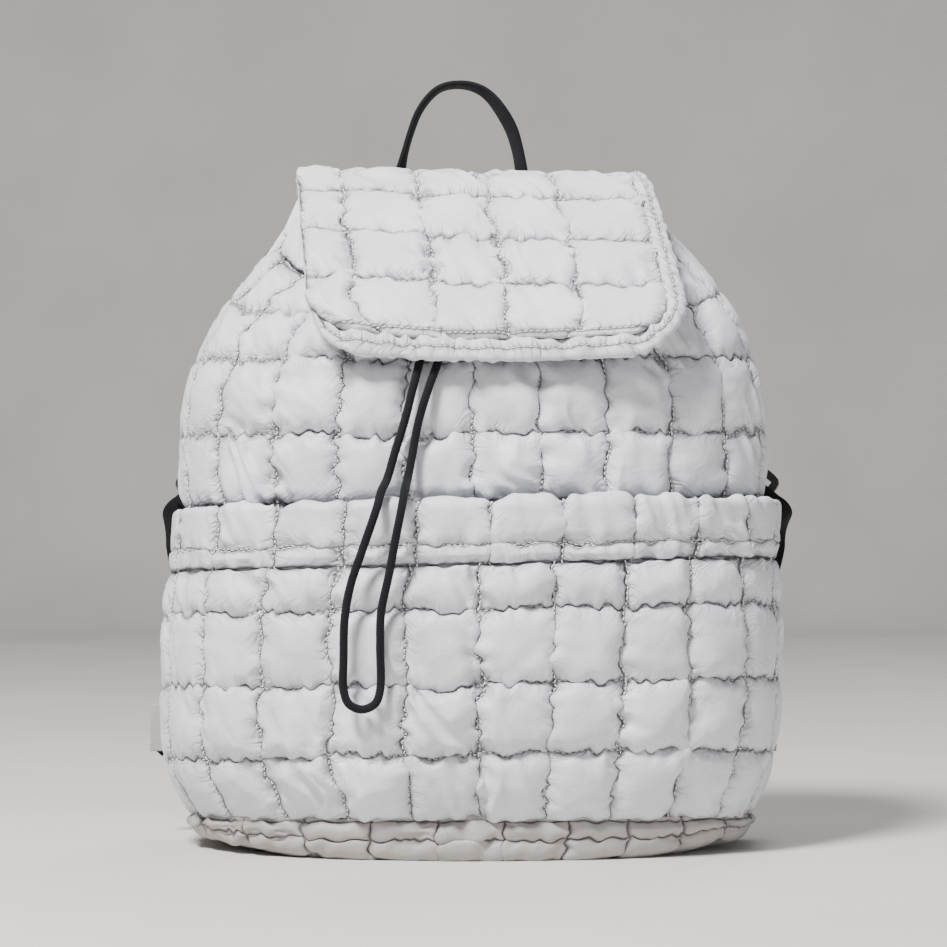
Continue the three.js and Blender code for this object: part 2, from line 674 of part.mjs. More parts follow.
function drawcord() {
  const route = new THREE.CatmullRomCurve3(CORD_ROUTE.map((point) => new THREE.Vector3(...point)));
  const section = new THREE.Shape();
  const radius = CORD_DIAMETER / 2;
  for (let i = 0; i < CORD_SIDES; i++) {
    const angle = (i / CORD_SIDES) * 2 * Math.PI;
    const [x, y] = [radius * Math.cos(angle), radius * Math.sin(angle)];
    if (i === 0) {
      section.moveTo(x, y);
    } else {
      section.lineTo(x, y);
    }
  }
  section.closePath();
  return new THREE.ExtrudeGeometry(section, { steps: CORD_STEPS, extrudePath: route });
}

// Small clasp on the casing under the flap that both ends of the cord come out of
function cordExit() {
  const point = bodySurface(CORD_EXIT_COLUMN, CORD_EXIT_LEVEL);
  const out = surfaceNormal(bodySurface, CORD_EXIT_COLUMN, CORD_EXIT_LEVEL, bodyLimits);
  const across = new THREE.Vector3(1, 0, 0).addScaledVector(out, -out.x).normalize();
  const up = new THREE.Vector3().crossVectors(out, across);
  const lift = CASING_PUFF + CLEARANCE + CORD_EXIT_THICKNESS / 2;
  const geometry = new THREE.BoxGeometry(CORD_EXIT_WIDTH, CORD_EXIT_LENGTH, CORD_EXIT_THICKNESS);
  const matrix = new THREE.Matrix4().makeBasis(across, up, out);
  matrix.setPosition(point.addScaledVector(out, lift));
  return geometry.applyMatrix4(matrix);
}

function strapPlace(mirror, bow, { across, height, off }) {
  return new THREE.Vector3(
    mirror * HALF_WIDTH * across * bow,
    backFace + BACK_PUFF + off,
    BODY_HEIGHT * height,
  );
}

const STRAP_CELLS = 5;

function strapPad({ mirror, pad }) {
  const points = STRAP_ROUTE.map((row) => strapPlace(mirror, pad, row));
  const steps = 3 * STRAP_CELLS;
  const path = new THREE.CatmullRomCurve3(points).getSpacedPoints(steps);
  const shares = range(0, STRAP_ROUTE.length - 1, steps);
  const widths = shares.map((share) => STRAP_WIDTH * columnValue(STRAP_ROUTE, "width", share));
  const thicknesses = shares.map((_, i) => STRAP_THICKNESS * (i % 3 === 0 ? STRAP_SEAM : 1));
  const sides = path.map(() => new THREE.Vector3(1, 0, 0.25 * mirror));
  return bandGeometry(path, sides, widths, thicknesses);
}

// Place of a ladder lock at the lower end of its strap pad
function sliderFrame({ mirror, pad }) {
  const end = strapPlace(mirror, pad, STRAP_ROUTE[STRAP_ROUTE.length - 1]);
  const before = strapPlace(mirror, pad, STRAP_ROUTE[STRAP_ROUTE.length - 2]);
  const down = end.clone().sub(before).normalize();
  const across = new THREE.Vector3().crossVectors(down, new THREE.Vector3(0, 1, 0)).normalize();
  const middle = end.addScaledVector(down, CLEARANCE + SLIDER_LENGTH / 2);
  return { down, across, middle };
}

function strapSlider(strap) {
  const [w, l, r] = [SLIDER_WIDTH / 2, SLIDER_LENGTH / 2, SLIDER_CORNER];
  const shape = new THREE.Shape();
  shape.moveTo(-w + r, -l);
  shape.lineTo(w - r, -l);
  shape.quadraticCurveTo(w, -l, w, -l + r);
  shape.lineTo(w, l - r);
  shape.quadraticCurveTo(w, l, w - r, l);
  shape.lineTo(-w + r, l);
  shape.quadraticCurveTo(-w, l, -w, l - r);
  shape.lineTo(-w, -l + r);
  shape.quadraticCurveTo(-w, -l, -w + r, -l);
  for (const sign of [-1, 1]) {
    const near = (sign * SLIDER_BAR) / 2;
    const far = sign * (l - SLIDER_BAR);
    const [low, high] = [Math.min(near, far), Math.max(near, far)];
    const slot = new THREE.Path();
    slot.moveTo(-w + SLIDER_BAR, low);
    slot.lineTo(-w + SLIDER_BAR, high);
    slot.lineTo(w - SLIDER_BAR, high);
    slot.lineTo(w - SLIDER_BAR, low);
    slot.closePath();
    shape.holes.push(slot);
  }
  const geometry = new THREE.ExtrudeGeometry(shape, {
    depth: SLIDER_THICKNESS,
    bevelEnabled: false,
    curveSegments: 3,
  });
  geometry.translate(0, 0, -SLIDER_THICKNESS / 2);
  const { down, across, middle } = sliderFrame(strap);
  const out = new THREE.Vector3().crossVectors(across, down);
  const matrix = new THREE.Matrix4().makeBasis(across, down, out);
  matrix.setPosition(middle);
  return geometry.applyMatrix4(matrix);
}

const WEBBING_STEPS = 12;

function strapWebbing(strap) {
  const { down, across, middle } = sliderFrame(strap);
  const start = middle.addScaledVector(down, SLIDER_LENGTH / 2 + WEBBING_GAP);
  const straight = start.clone().addScaledVector(down, WEBBING_WIDTH / 2);
  const hanging = WEBBING_ROUTE.map((row) => strapPlace(strap.mirror, strap.webbing, row));
  const path = new THREE.CatmullRomCurve3([start, straight, ...hanging]).getSpacedPoints(WEBBING_STEPS);
  const sides = path.map((_, i) => {
    const share = THREE.MathUtils.smoothstep(i / WEBBING_STEPS, 0, 0.4);
    return across.clone().lerp(new THREE.Vector3(1, 0, 0), share);
  });
  const widths = path.map(() => WEBBING_WIDTH);
  const thicknesses = path.map(() => WEBBING_THICKNESS);
  return bandGeometry(path, sides, widths, thicknesses);
}

// Cloth tab in the back seam that holds the lower end of a strap
function strapAnchor({ mirror, anchor }) {
  const seam = SEAM_HALF * BODY_ROWS[1].seam;
  const z = ANCHOR_HEIGHT * BODY_HEIGHT;
  const y = backFace + BACK_PUFF + CLEARANCE;
  const tip = mirror * (seam + ANCHOR_REACH) * anchor;
  const shape = new THREE.Shape();
  shape.moveTo(mirror * (seam - 10), z - ANCHOR_LENGTH / 2);
  shape.lineTo(tip, z - ANCHOR_LENGTH / 2);
  shape.lineTo(tip, z + ANCHOR_LENGTH / 6);
  shape.lineTo(mirror * (seam - 10), z + ANCHOR_LENGTH / 2);
  shape.closePath();
  const geometry = new THREE.ExtrudeGeometry(shape, { depth: ANCHOR_THICKNESS, bevelEnabled: false });
  geometry.rotateX(Math.PI / 2);
  geometry.translate(0, y + ANCHOR_THICKNESS, 0);
  return geometry;
}

addMesh("body_wrap", bodyWrap(), materials.nylon);
addMesh("mouth_casing", mouthCasing(), materials.nylon);
addMesh("front_pocket", frontPocket(), materials.nylon);
addMesh("pocket_hem", pocketHem(), materials.nylon);
addMesh("back_panel", backPanel(), materials.nylon);
addMesh("base_panel", basePanel(), materials.shadedNylon);
addMesh("flap_panel", flapPanel(), materials.nylon);
addMesh("flap_border", flapBorder(), materials.nylon);
addMesh("grab_handle", grabHandle(), materials.webbing);
addMesh("drawcord", drawcord(), materials.cord);
addMesh("cord_exit", cordExit(), materials.plastic);
for (const strap of STRAPS) {
  addMesh("strap_pad_" + strap.side, strapPad(strap), materials.nylon);
  addMesh("strap_slider_" + strap.side, strapSlider(strap), materials.plastic);
  addMesh("strap_webbing_" + strap.side, strapWebbing(strap), materials.webbing);
  addMesh("strap_anchor_" + strap.side, strapAnchor(strap), materials.shadedNylon);
}

export default group;
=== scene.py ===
import math

import bpy
import numpy as np
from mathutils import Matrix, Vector


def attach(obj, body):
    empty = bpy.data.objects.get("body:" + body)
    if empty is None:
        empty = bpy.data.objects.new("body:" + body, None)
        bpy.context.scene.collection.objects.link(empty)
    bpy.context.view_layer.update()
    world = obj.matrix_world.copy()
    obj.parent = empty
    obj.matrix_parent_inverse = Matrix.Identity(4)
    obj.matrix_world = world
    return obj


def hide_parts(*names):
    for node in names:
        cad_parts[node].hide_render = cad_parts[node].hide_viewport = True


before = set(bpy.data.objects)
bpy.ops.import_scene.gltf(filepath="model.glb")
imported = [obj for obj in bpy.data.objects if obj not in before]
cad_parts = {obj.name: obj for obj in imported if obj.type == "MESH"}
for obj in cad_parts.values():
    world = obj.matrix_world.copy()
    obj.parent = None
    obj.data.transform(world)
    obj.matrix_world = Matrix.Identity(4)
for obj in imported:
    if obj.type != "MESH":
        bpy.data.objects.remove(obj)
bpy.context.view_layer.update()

MM = 0.001  # the forms below are worked out in millimetres, as the frame's sizes are

# Sizes of the standing bag, as in the frame: +Z up, front towards -Y
BODY_HEIGHT = 372.0
HALF_WIDTH = 174.0
FRONT_REACH = 86.0
BACK_REACH = 62.0
WIDEST_REACH = 25.0
SEAM_HALF = 150.0
SEAM_WALL = 2.6
COLUMNS = 7  # cells from the middle of the front to a back seam
FRONT_POWER = 2.3
BACK_POWER = 4.0
POCKET_SEAM = 6.6  # back seam of the pocket outside that of the wrap
BACK_FACE = 65.3

# Rows of the wrap and of the pocket: front, side and back height as shares of BODY_HEIGHT,
# half width of HALF_WIDTH, front reach of FRONT_REACH, back seam of SEAM_HALF,
# then the rise towards the right end and the sideways shift, both in millimetres
BODY_ROWS = [
    (0.059, 0.043, 0.038, 0.845, 0.667, 0.900, 0, 0),
    (0.161, 0.134, 0.124, 0.920, 0.763, 0.960, 0, 0),
    (0.261, 0.247, 0.237, 0.937, 0.791, 0.980, 0, 0),
    (0.371, 0.355, 0.344, 0.940, 0.791, 0.980, 0, 0),
    (0.527, 0.522, 0.516, 0.945, 0.791, 0.973, 3, 0),
    (0.626, 0.629, 0.629, 0.952, 0.791, 0.960, 1, 0),
    (0.737, 0.745, 0.753, 0.902, 0.721, 0.920, 1, 0.5),
    (0.801, 0.836, 0.858, 0.799, 0.546, 0.820, 3, 1),
    (0.833, 0.914, 0.949, 0.632, 0.315, 0.667, 3, 1),
    (0.860, 0.946, 0.997, 0.569, 0.191, 0.613, 2, 1),
]
POCKET_ROWS = [
    (0.059, 0.043, 0.038, 0.902, 0.805, 0.900, 0, -1),
    (0.161, 0.134, 0.124, 0.989, 0.963, 0.960, 3, -2),
    (0.261, 0.247, 0.237, 1.003, 1.000, 0.980, 3, -1),
    (0.371, 0.355, 0.344, 1.000, 1.000, 0.980, 3, -1),
    (0.435, 0.422, 0.411, 0.987, 0.990, 0.980, 4, 0),
    (0.464, 0.452, 0.444, 0.991, 1.000, 0.985, 3, 1),
    (0.535, 0.527, 0.522, 0.986, 1.000, 0.990, 3, 2),
]
FRONT, SIDE, BACK, WIDTH, REACH, SEAM, SLOPE, SHIFT = range(8)

# Where the photograph stood: straight in front, level with the middle of the bag
CAMERA_DISTANCE = 2.0
CAMERA_HEIGHT = 0.2106
VIEW_WIDTH = 0.5396  # at the widest plane of the bag
SENSOR = 36.0

CELL_STEPS = 38  # grid steps across a quilted cell
RELAX_STEPS = 14


# Camera and lights

def set_sockets(node, values):
    for name, value in values.items():
        node.inputs[name].default_value = value


def make_camera():
    data = bpy.data.cameras.new("camera")
    data.sensor_width = SENSOR
    data.lens = SENSOR * CAMERA_DISTANCE / VIEW_WIDTH
    camera = bpy.data.objects.new("camera", data)
    camera.location = (0, WIDEST_REACH * MM - CAMERA_DISTANCE, CAMERA_HEIGHT)
    camera.rotation_euler = (math.pi / 2, 0, 0)
    bpy.context.collection.objects.link(camera)
    bpy.context.scene.camera = camera


def area_light(name, place, target, size, power, colour=(1, 1, 1)):
    data = bpy.data.lights.new(name, "AREA")
    data.shape = "DISK"
    data.size = size
    data.energy = power
    data.color = colour
    light = bpy.data.objects.new(name, data)
    light.location = place
    light.rotation_euler = (Vector(target) - Vector(place)).to_track_quat("-Z", "Y").to_euler()
    bpy.context.collection.objects.link(light)


def make_lights():
    middle = (0, 0, 0.2)
    area_light("key", (-0.7, -1.1, 1.85), middle, 0.5, 104, (1.0, 0.99, 0.98))
    area_light("fill", (1.7, -1.5, 0.6), middle, 1.4, 7, (0.94, 0.96, 1.0))
    area_light("top", (0.2, 0.3, 1.9), middle, 0.9, 4)
    area_light("back", (0.5, 1.5, 2.3), middle, 0.9, 22)
    world = bpy.data.worlds.new("studio")
    world.use_nodes = True
    set_sockets(world.node_tree.nodes["Background"], {"Color": (0.93, 0.95, 1.0, 1), "Strength": 0.21})
    bpy.context.scene.world = world


make_camera()
make_lights()


# Small helpers

def unit(vectors):
    return vectors / np.linalg.norm(vectors, axis=1, keepdims=True)


def smooth(share):
    return share * share * (3 - 2 * share)


def distances(line):
    """Distance along a line at each of its points."""
    return np.append(0, np.cumsum(np.linalg.norm(np.diff(line, axis=0), axis=1)))


def sample(at, travelled, line):
    """Points or directions of a line at distances along it."""
    return np.stack([np.interp(at, travelled, line[:, k]) for k in range(line.shape[1])], axis=1)


def catmull_rom(a, b, c, d, t):
    return b + 0.5 * t * (c - a + t * (2 * a - 5 * b + 4 * c - d + t * (3 * (b - c) + d - a)))


# Materials

def new_material(name, build):
    material = bpy.data.materials.new(name)
    material.use_nodes = True
    tree = material.node_tree
    build(tree, tree.nodes["Principled BSDF"])
    return material


def add_node(tree, kind, **settings):
    node = tree.nodes.new(kind)
    for key, value in settings.items():
        setattr(node, key, value)
    return node


def link(tree, output, node, name):
    tree.links.new(output, node.inputs[name])


def object_place(tree):
    return add_node(tree, "ShaderNodeTexCoord").outputs["Object"]


def attribute(tree, name, output="Fac"):
    node = add_node(tree, "ShaderNodeAttribute", attribute_name=name)
    return node.outputs[output]


def noise(tree, vector, scale, detail=2.0, roughness=0.5, distortion=0.0):
    node = add_node(tree, "ShaderNodeTexNoise")
    set_sockets(node, {"Scale": scale, "Detail": detail, "Roughness": roughness, "Distortion": distortion})
    link(tree, vector, node, "Vector")
    return node.outputs["Fac"]


def math_node(tree, operation, first, second=None, third=None):
    node = add_node(tree, "ShaderNodeMath", operation=operation)
    for socket, value in zip(node.inputs, (first, second, third)):
        if value is None:
            continue
        if isinstance(value, (int, float)):
            socket.default_value = value
        else:
            tree.links.new(value, socket)
    return node.outputs[0]


def ramp(tree, factor, stops):
    node = add_node(tree, "ShaderNodeValToRGB")
    elements = node.color_ramp.elements
    while len(elements) < len(stops):
        elements.new(0.5)
    for element, (place, colour) in zip(elements, stops):
        element.position = place
        element.color = (*colour, 1)
    link(tree, factor, node, "Fac")
    return node.outputs["Color"]


def mix_colour(tree, factor, first, second, blend="MIX"):
    node = add_node(tree, "ShaderNodeMix", data_type="RGBA", blend_type=blend)
    for socket, value in zip((node.inputs[0], node.inputs[6], node.inputs[7]), (factor, first, second)):
        if isinstance(value, (int, float)):
            socket.default_value = value
        elif isinstance(value, tuple):
            socket.default_value = (*value, 1)
        else:
            tree.links.new(value, socket)
    return node.outputs[2]


def stretched(tree, vector, across, along):
    """A flat coordinate with its own scale in each direction."""
    node = add_node(tree, "ShaderNodeVectorMath", operation="MULTIPLY")
    tree.links.new(vector, node.inputs[0])
    node.inputs[1].default_value = (across, along, 1)
    return node.outputs["Vector"]


def bump(tree, height, strength, distance, normal=None):
    node = add_node(tree, "ShaderNodeBump")
    set_sockets(node, {"Strength": strength, "Distance": distance})
    link(tree, height, node, "Height")
    if normal is not None:
        link(tree, normal, node, "Normal")
    return node.outputs["Normal"]


def weave(tree, vector, pitch):
    """Plain weave of threads at a pitch in metres, from a flat cloth coordinate."""
    waves = []
    for direction in ("X", "Y"):
        node = add_node(tree, "ShaderNodeTexWave", bands_direction=direction)
        set_sockets(node, {"Scale": 0.314 / pitch, "Distortion": 0.4, "Detail": 1.0})
        link(tree, vector, node, "Vector")
        waves.append(node.outputs["Fac"])
    return math_node(tree, "MULTIPLY", waves[0], waves[1])


PLEAT_PITCH = 0.0082  # metres, as is all that the materials measure
PLEAT_LENGTH = 0.03
NYLON_THREAD = 0.00042
# Colours of painted shade: beside the seams and in their creases, and along the seams' valleys
FOLD_SHADE = (0.30, 0.285, 0.31)
SEAM_VALLEY_SHADE = (0.045, 0.04, 0.045)


def pleats(tree, vector):
    """Narrow creases, 1 along their bottoms, from a stretched cloth coordinate."""
    crest = math_node(tree, "MULTIPLY_ADD", noise(tree, vector, 1, 1.5, 0.5, 0.5), 2.0, -1.0)
    ridge = math_node(tree, "MULTIPLY_ADD", math_node(tree, "ABSOLUTE", crest), -7.0, 1.0)
    return math_node(tree, "MAXIMUM", ridge, 0.0)


def nylon(name, light, shade, roughness=0.5):
    """Smooth calendered nylon over wadding: a soft gloss, faint threads and small creases, with shade painted
    into its seams' valleys and creases.
    """
    def build(tree, shader):
        place = object_place(tree)
        cloth = attribute(tree, "cloth", "Vector")
        tone = attribute(tree, "tone")
        cloudy = math_node(tree, "MULTIPLY", noise(tree, place, 22, 2), 0.84)
        mixed = math_node(tree, "MULTIPLY_ADD", tone, 0.16, cloudy)
        base = ramp(tree, mixed, [(0.3, shade), (0.7, light)])
        # Painted shade in the stitched valleys: a soft band beside the seams and a darker line along them
        valley = attribute(tree, "seam")
        uneven = math_node(tree, "MULTIPLY_ADD", noise(tree, place, 260, 2), 0.6, 0.62)
        valley_shade = math_node(tree, "MULTIPLY", valley, uneven)
        near = add_node(tree, "ShaderNodeSeparateXYZ")
        tree.links.new(attribute(tree, "gathers", "Vector"), near.inputs[0])
        beside = math_node(tree, "MAXIMUM", near.outputs["X"], near.outputs["Y"])
        soft = math_node(tree, "MULTIPLY", math_node(tree, "POWER", beside, 1.4), 0.46)
        base = mix_colour(tree, soft, base, FOLD_SHADE)
        base = mix_colour(tree, valley_shade, base, SEAM_VALLEY_SHADE)
        # Fine gathers beside the stitches, square to them
        along_row = pleats(tree, stretched(tree, cloth, 1 / PLEAT_PITCH, 1 / PLEAT_LENGTH))
        along_column = pleats(tree, stretched(tree, cloth, 1 / PLEAT_LENGTH, 1 / PLEAT_PITCH))
        gathered = math_node(tree, "MULTIPLY", near.outputs["X"], along_row)
        gathered = math_node(tree, "MULTIPLY_ADD", near.outputs["Y"], along_column, gathered)
        # Painted shade in the gathers' creases
        crease_shade = math_node(tree, "MULTIPLY", gathered, 0.42)
        base = mix_colour(tree, crease_shade, base, FOLD_SHADE)
        link(tree, base, shader, "Base Color")
        gloss = math_node(tree, "MULTIPLY_ADD", noise(tree, place, 60, 3), 0.16, roughness - 0.08)
        link(tree, gloss, shader, "Roughness")
        set_sockets(shader, {"Specular IOR Level": 0.45, "Sheen Weight": 0.1, "Sheen Roughness": 0.4})
        creases = noise(tree, place, 95, 3, 0.55, 0.8)
        relief = bump(tree, creases, 0.5, 0.0014)
        sunk = math_node(tree, "MULTIPLY", gathered, -1.0)
        relief = bump(tree, sunk, 0.8, 0.0016, relief)
        threads = weave(tree, cloth, NYLON_THREAD)
        link(tree, bump(tree, threads, 0.12, 0.0001, relief), shader, "Normal")
    return new_material(name, build)


def black_webbing(name, colour, pitch):
    """Tight woven tape or braid: ribs along and across, a dry surface, a little dust."""
    def build(tree, shader):
        place = object_place(tree)
        cloth = attribute(tree, "cloth", "Vector")
        threads = weave(tree, cloth, pitch)
        dark = tuple(0.45 * value for value in colour)
        base = mix_colour(tree, threads, dark, colour)
        dust = ramp(tree, noise(tree, place, 45, 3), [(0.5, (0, 0, 0)), (0.85, (0.005, 0.005, 0.006))])
        link(tree, mix_colour(tree, 1.0, base, dust, "ADD"), shader, "Base Color")
        set_sockets(shader, {"Roughness": 0.72, "Specular IOR Level": 0.16, "Sheen Weight": 0.06,
                             "Sheen Roughness": 0.5})
        link(tree, bump(tree, threads, 0.8, 0.00035), shader, "Normal")
    return new_material(name, build)


def thread(name, colour):
    def build(tree, shader):
        place = object_place(tree)
        base = ramp(tree, noise(tree, place, 900, 2), [(0.3, tuple(0.8 * v for v in colour)), (0.7, colour)])
        link(tree, base, shader, "Base Color")
        set_sockets(shader, {"Roughness": 0.6, "Sheen Weight": 0.2})
    return new_material(name, build)


def plastic(name, colour):
    def build(tree, shader):
        place = object_place(tree)
        speckle = noise(tree, place, 1500, 2)
        base = ramp(tree, noise(tree, place, 60, 3), [(0.3, colour), (0.8, tuple(1.5 * v for v in colour))])
        link(tree, base, shader, "Base Color")
        link(tree, math_node(tree, "MULTIPLY_ADD", speckle, 0.2, 0.28), shader, "Roughness")
        link(tree, bump(tree, speckle, 0.25, 0.0001), shader, "Normal")
    return new_material(name, build)


def floor_material():
    def build(tree, shader):
        place = object_place(tree)
        base = ramp(tree, noise(tree, place, 5, 4), [(0.3, (0.60, 0.58, 0.55)), (0.7, (0.66, 0.64, 0.61))])
        link(tree, base, shader, "Base Color")
        set_sockets(shader, {"Roughness": 0.85})
    return new_material("floor_paint", build)


# Forms

def column_value(rows, column, level):
    """Smooth value of a table's column at levels between its rows."""
    values = np.array([row[column] for row in rows], float)
    last = len(values) - 1
    index = np.minimum(np.floor(level).astype(int), last - 1)
    t = level - index
    a, b, c, d = (values[np.clip(index + k, 0, last)] for k in (-1, 0, 1, 2))
    return catmull_rom(a, b, c, d, t)


SECTION_STEPS = 200


def half_section(width, reach, seam):
    """Half of a level section, from the middle of the front to the back seam."""
    angle = np.linspace(0, math.pi / 2, SECTION_STEPS)
    x = width * np.sin(angle) ** (2 / FRONT_POWER)
    y = WIDEST_REACH - (WIDEST_REACH + reach) * np.maximum(np.cos(angle), 0) ** (2 / FRONT_POWER)
    share = seam / width
    depth = (BACK_REACH - WIDEST_REACH) / (1 - share**BACK_POWER) ** (1 / BACK_POWER)
    angle = np.linspace(0, math.acos(share ** (BACK_POWER / 2)), SECTION_STEPS)[1:]
    x = np.append(x, width * np.cos(angle) ** (2 / BACK_POWER))
    y = np.append(y, WIDEST_REACH + depth * np.sin(angle) ** (2 / BACK_POWER))
    return x, y


def wrap_surface(rows, seam_offset, columns, levels, lean=0.0):
    """Seam surface of a wrap on a grid of levels by columns; lean shifts the columns in front."""
    columns = np.asarray(columns, float)
    levels = np.asarray(levels, float)
    value = {k: column_value(rows, k, levels) for k in range(8)}
    columns = columns + lean * (1 - (columns / COLUMNS) ** 2)
    share = np.minimum(np.abs(columns) / COLUMNS, 1)
    points = np.empty((len(levels), len(columns), 3))
    for j in range(len(levels)):
        reach = FRONT_REACH * value[REACH][j]
        seam = SEAM_HALF * value[SEAM][j] + seam_offset
        x, y = half_section(HALF_WIDTH * value[WIDTH][j], reach, seam)
        length = np.append(0, np.cumsum(np.hypot(np.diff(x), np.diff(y))))
        at = share * length[-1]
        px = np.sign(columns) * np.interp(at, length, x)
        py = np.interp(at, length, y)
        front, side, back = (BODY_HEIGHT * value[k][j] for k in (FRONT, SIDE, BACK))
        a, b, c = -reach, WIDEST_REACH, BACK_REACH
        z = front * (py - b) * (py - c) / ((a - b) * (a - c))
        z += side * (py - a) * (py - c) / ((b - a) * (b - c))
        z += back * (py - a) * (py - b) / ((c - a) * (c - b))
        points[j, :, 0] = px + value[SHIFT][j]
        points[j, :, 1] = py
        points[j, :, 2] = z + value[SLOPE][j] * px / HALF_WIDTH
    return points


def grid_normals(points):
    """Unit normals of a grid, outward where its columns run rightwards and its rows upwards."""
    across = np.gradient(points, axis=1)
    up = np.gradient(points, axis=0)
    normals = np.cross(across, up)
    return normals / np.maximum(np.linalg.norm(normals, axis=2, keepdims=True), 1e-9)


def noise_field(across, along, period_across, period_along, seed):
    """Smooth noise from -1 to 1 over a flat place, with its own period in each direction."""
    table = np.random.default_rng(seed).uniform(-1, 1, (128, 128))
    total = 0.0
    for offset, weight in ((0.0, 0.62), (0.47, 0.62)):
        u = across / period_across + offset + 40
        v = along / period_along + 1.7 * offset + 40
        i, j = np.floor(u).astype(int), np.floor(v).astype(int)
        fu, fv = u - i, v - j
        fu = fu * fu * fu * (fu * (fu * 6 - 15) + 10)
        fv = fv * fv * fv * (fv * (fv * 6 - 15) + 10)
        i, j = i % 128, j % 128
        low = table[i, j] * (1 - fu) + table[(i + 1) % 128, j] * fu
        high = table[i, (j + 1) % 128] * (1 - fu) + table[(i + 1) % 128, (j + 1) % 128] * fu
        total = total + weight * (low * (1 - fv) + high * fv) * 1.6
    return np.clip(total, -1.4, 1.4)


STOP_CROWDING = 0.4  # how much closer the grid's lines lie at the seams


def cell_stops(seams, steps):
    """Grid places with the given steps in each cell between seams, and the seams' indices."""
    stops, marks = [], [0]
    for k in range(len(seams) - 1):
        share = np.linspace(0, 1, steps[k] + 1)[:-1]
        share = share - STOP_CROWDING * np.sin(2 * math.pi * share) / (2 * math.pi)
        stops.extend(seams[k] + (seams[k + 1] - seams[k]) * share)
        marks.append(marks[-1] + steps[k])
    stops.append(seams[-1])
    return np.array(stops), np.array(marks)


def cloth_places(flat):
    """Distances along the rows, from their middle, and along the columns, from the first row."""
    across = np.cumsum(np.linalg.norm(np.diff(flat, axis=1, prepend=flat[:, :1]), axis=2), axis=1)
    upward = np.cumsum(np.linalg.norm(np.diff(flat, axis=0, prepend=flat[:1]), axis=2), axis=0)
    middle = across.shape[1] // 2
    return across - across[:, middle:middle + 1], upward


def seam_distances(across, upward, seam_rows, seam_columns):
    """Signed distance of each grid point from the nearest seam along a row and along a column."""
    from_row = np.full(across.shape, 1e3)
    from_column = np.full(across.shape, 1e3)
    for mark in seam_rows:
        away = upward - upward[mark:mark + 1]
        from_row = np.where(np.abs(away) < np.abs(from_row), away, from_row)
    for mark in seam_columns:
        away = across - across[:, mark:mark + 1]
        from_column = np.where(np.abs(away) < np.abs(from_column), away, from_column)
    return from_row, from_column


def relax(points, free, steps, stretch, seed_normals, press):
    """Settles a cloth grid: it swells, keeps its threads' lengths and evens out its bends."""
    rest_row = np.linalg.norm(np.diff(points, axis=1), axis=2, keepdims=True) * stretch
    rest_column = np.linalg.norm(np.diff(points, axis=0), axis=2, keepdims=True) * stretch
    for _ in range(steps):
        points += seed_normals * free * press
        for start in (0, 1):
            relax_pair(points[:, start:-1:2], points[:, start + 1::2], rest_row[:, start::2],
                       free[:, start:-1:2], free[:, start + 1::2], 0.5)
            relax_pair(points[start:-1:2], points[start + 1::2], rest_column[start::2],
                       free[start:-1:2], free[start + 1::2], 0.5)
        middle = points[1:-1, 1:-1]
        around = points[:-2, 1:-1] + points[2:, 1:-1] + points[1:-1, :-2] + points[1:-1, 2:]
        middle += (around / 4 - middle) * 0.12 * free[1:-1, 1:-1]
    return points


def relax_pair(first, second, rest, move_first, move_second, squeeze):
    """Pulls pairs of points to their rest distance; squeeze is how firmly they resist closing."""
    away = second - first
    length = np.linalg.norm(away, axis=-1, keepdims=True)
    gain = np.where(length > rest, 0.9, squeeze)
    total = np.maximum(move_first + move_second, 1e-6)
    step = away * (gain * (length - rest) / (np.maximum(length, 1e-9) * total))
    first += step * move_first
    second -= step * move_second


def shoulder(distance, reach):
    """Rise of a stuffed cell from its seam: steep at the stitches, level past reach."""
    return np.sqrt(np.maximum(1 - (1 - np.minimum(distance / reach, 1)) ** 2, 0))


GATHER_HEIGHT = 2.1
SCALLOP = 0.5  # how far the gathered cloth leans over a seam
STRETCH = 1.035  # give of the cloth while it settles
SWAY_REACH = 4.5  # how far beside a seam the cloth follows it
EDGE_CALM = 8.0  # the seams run calmer this near to a sheet's edge


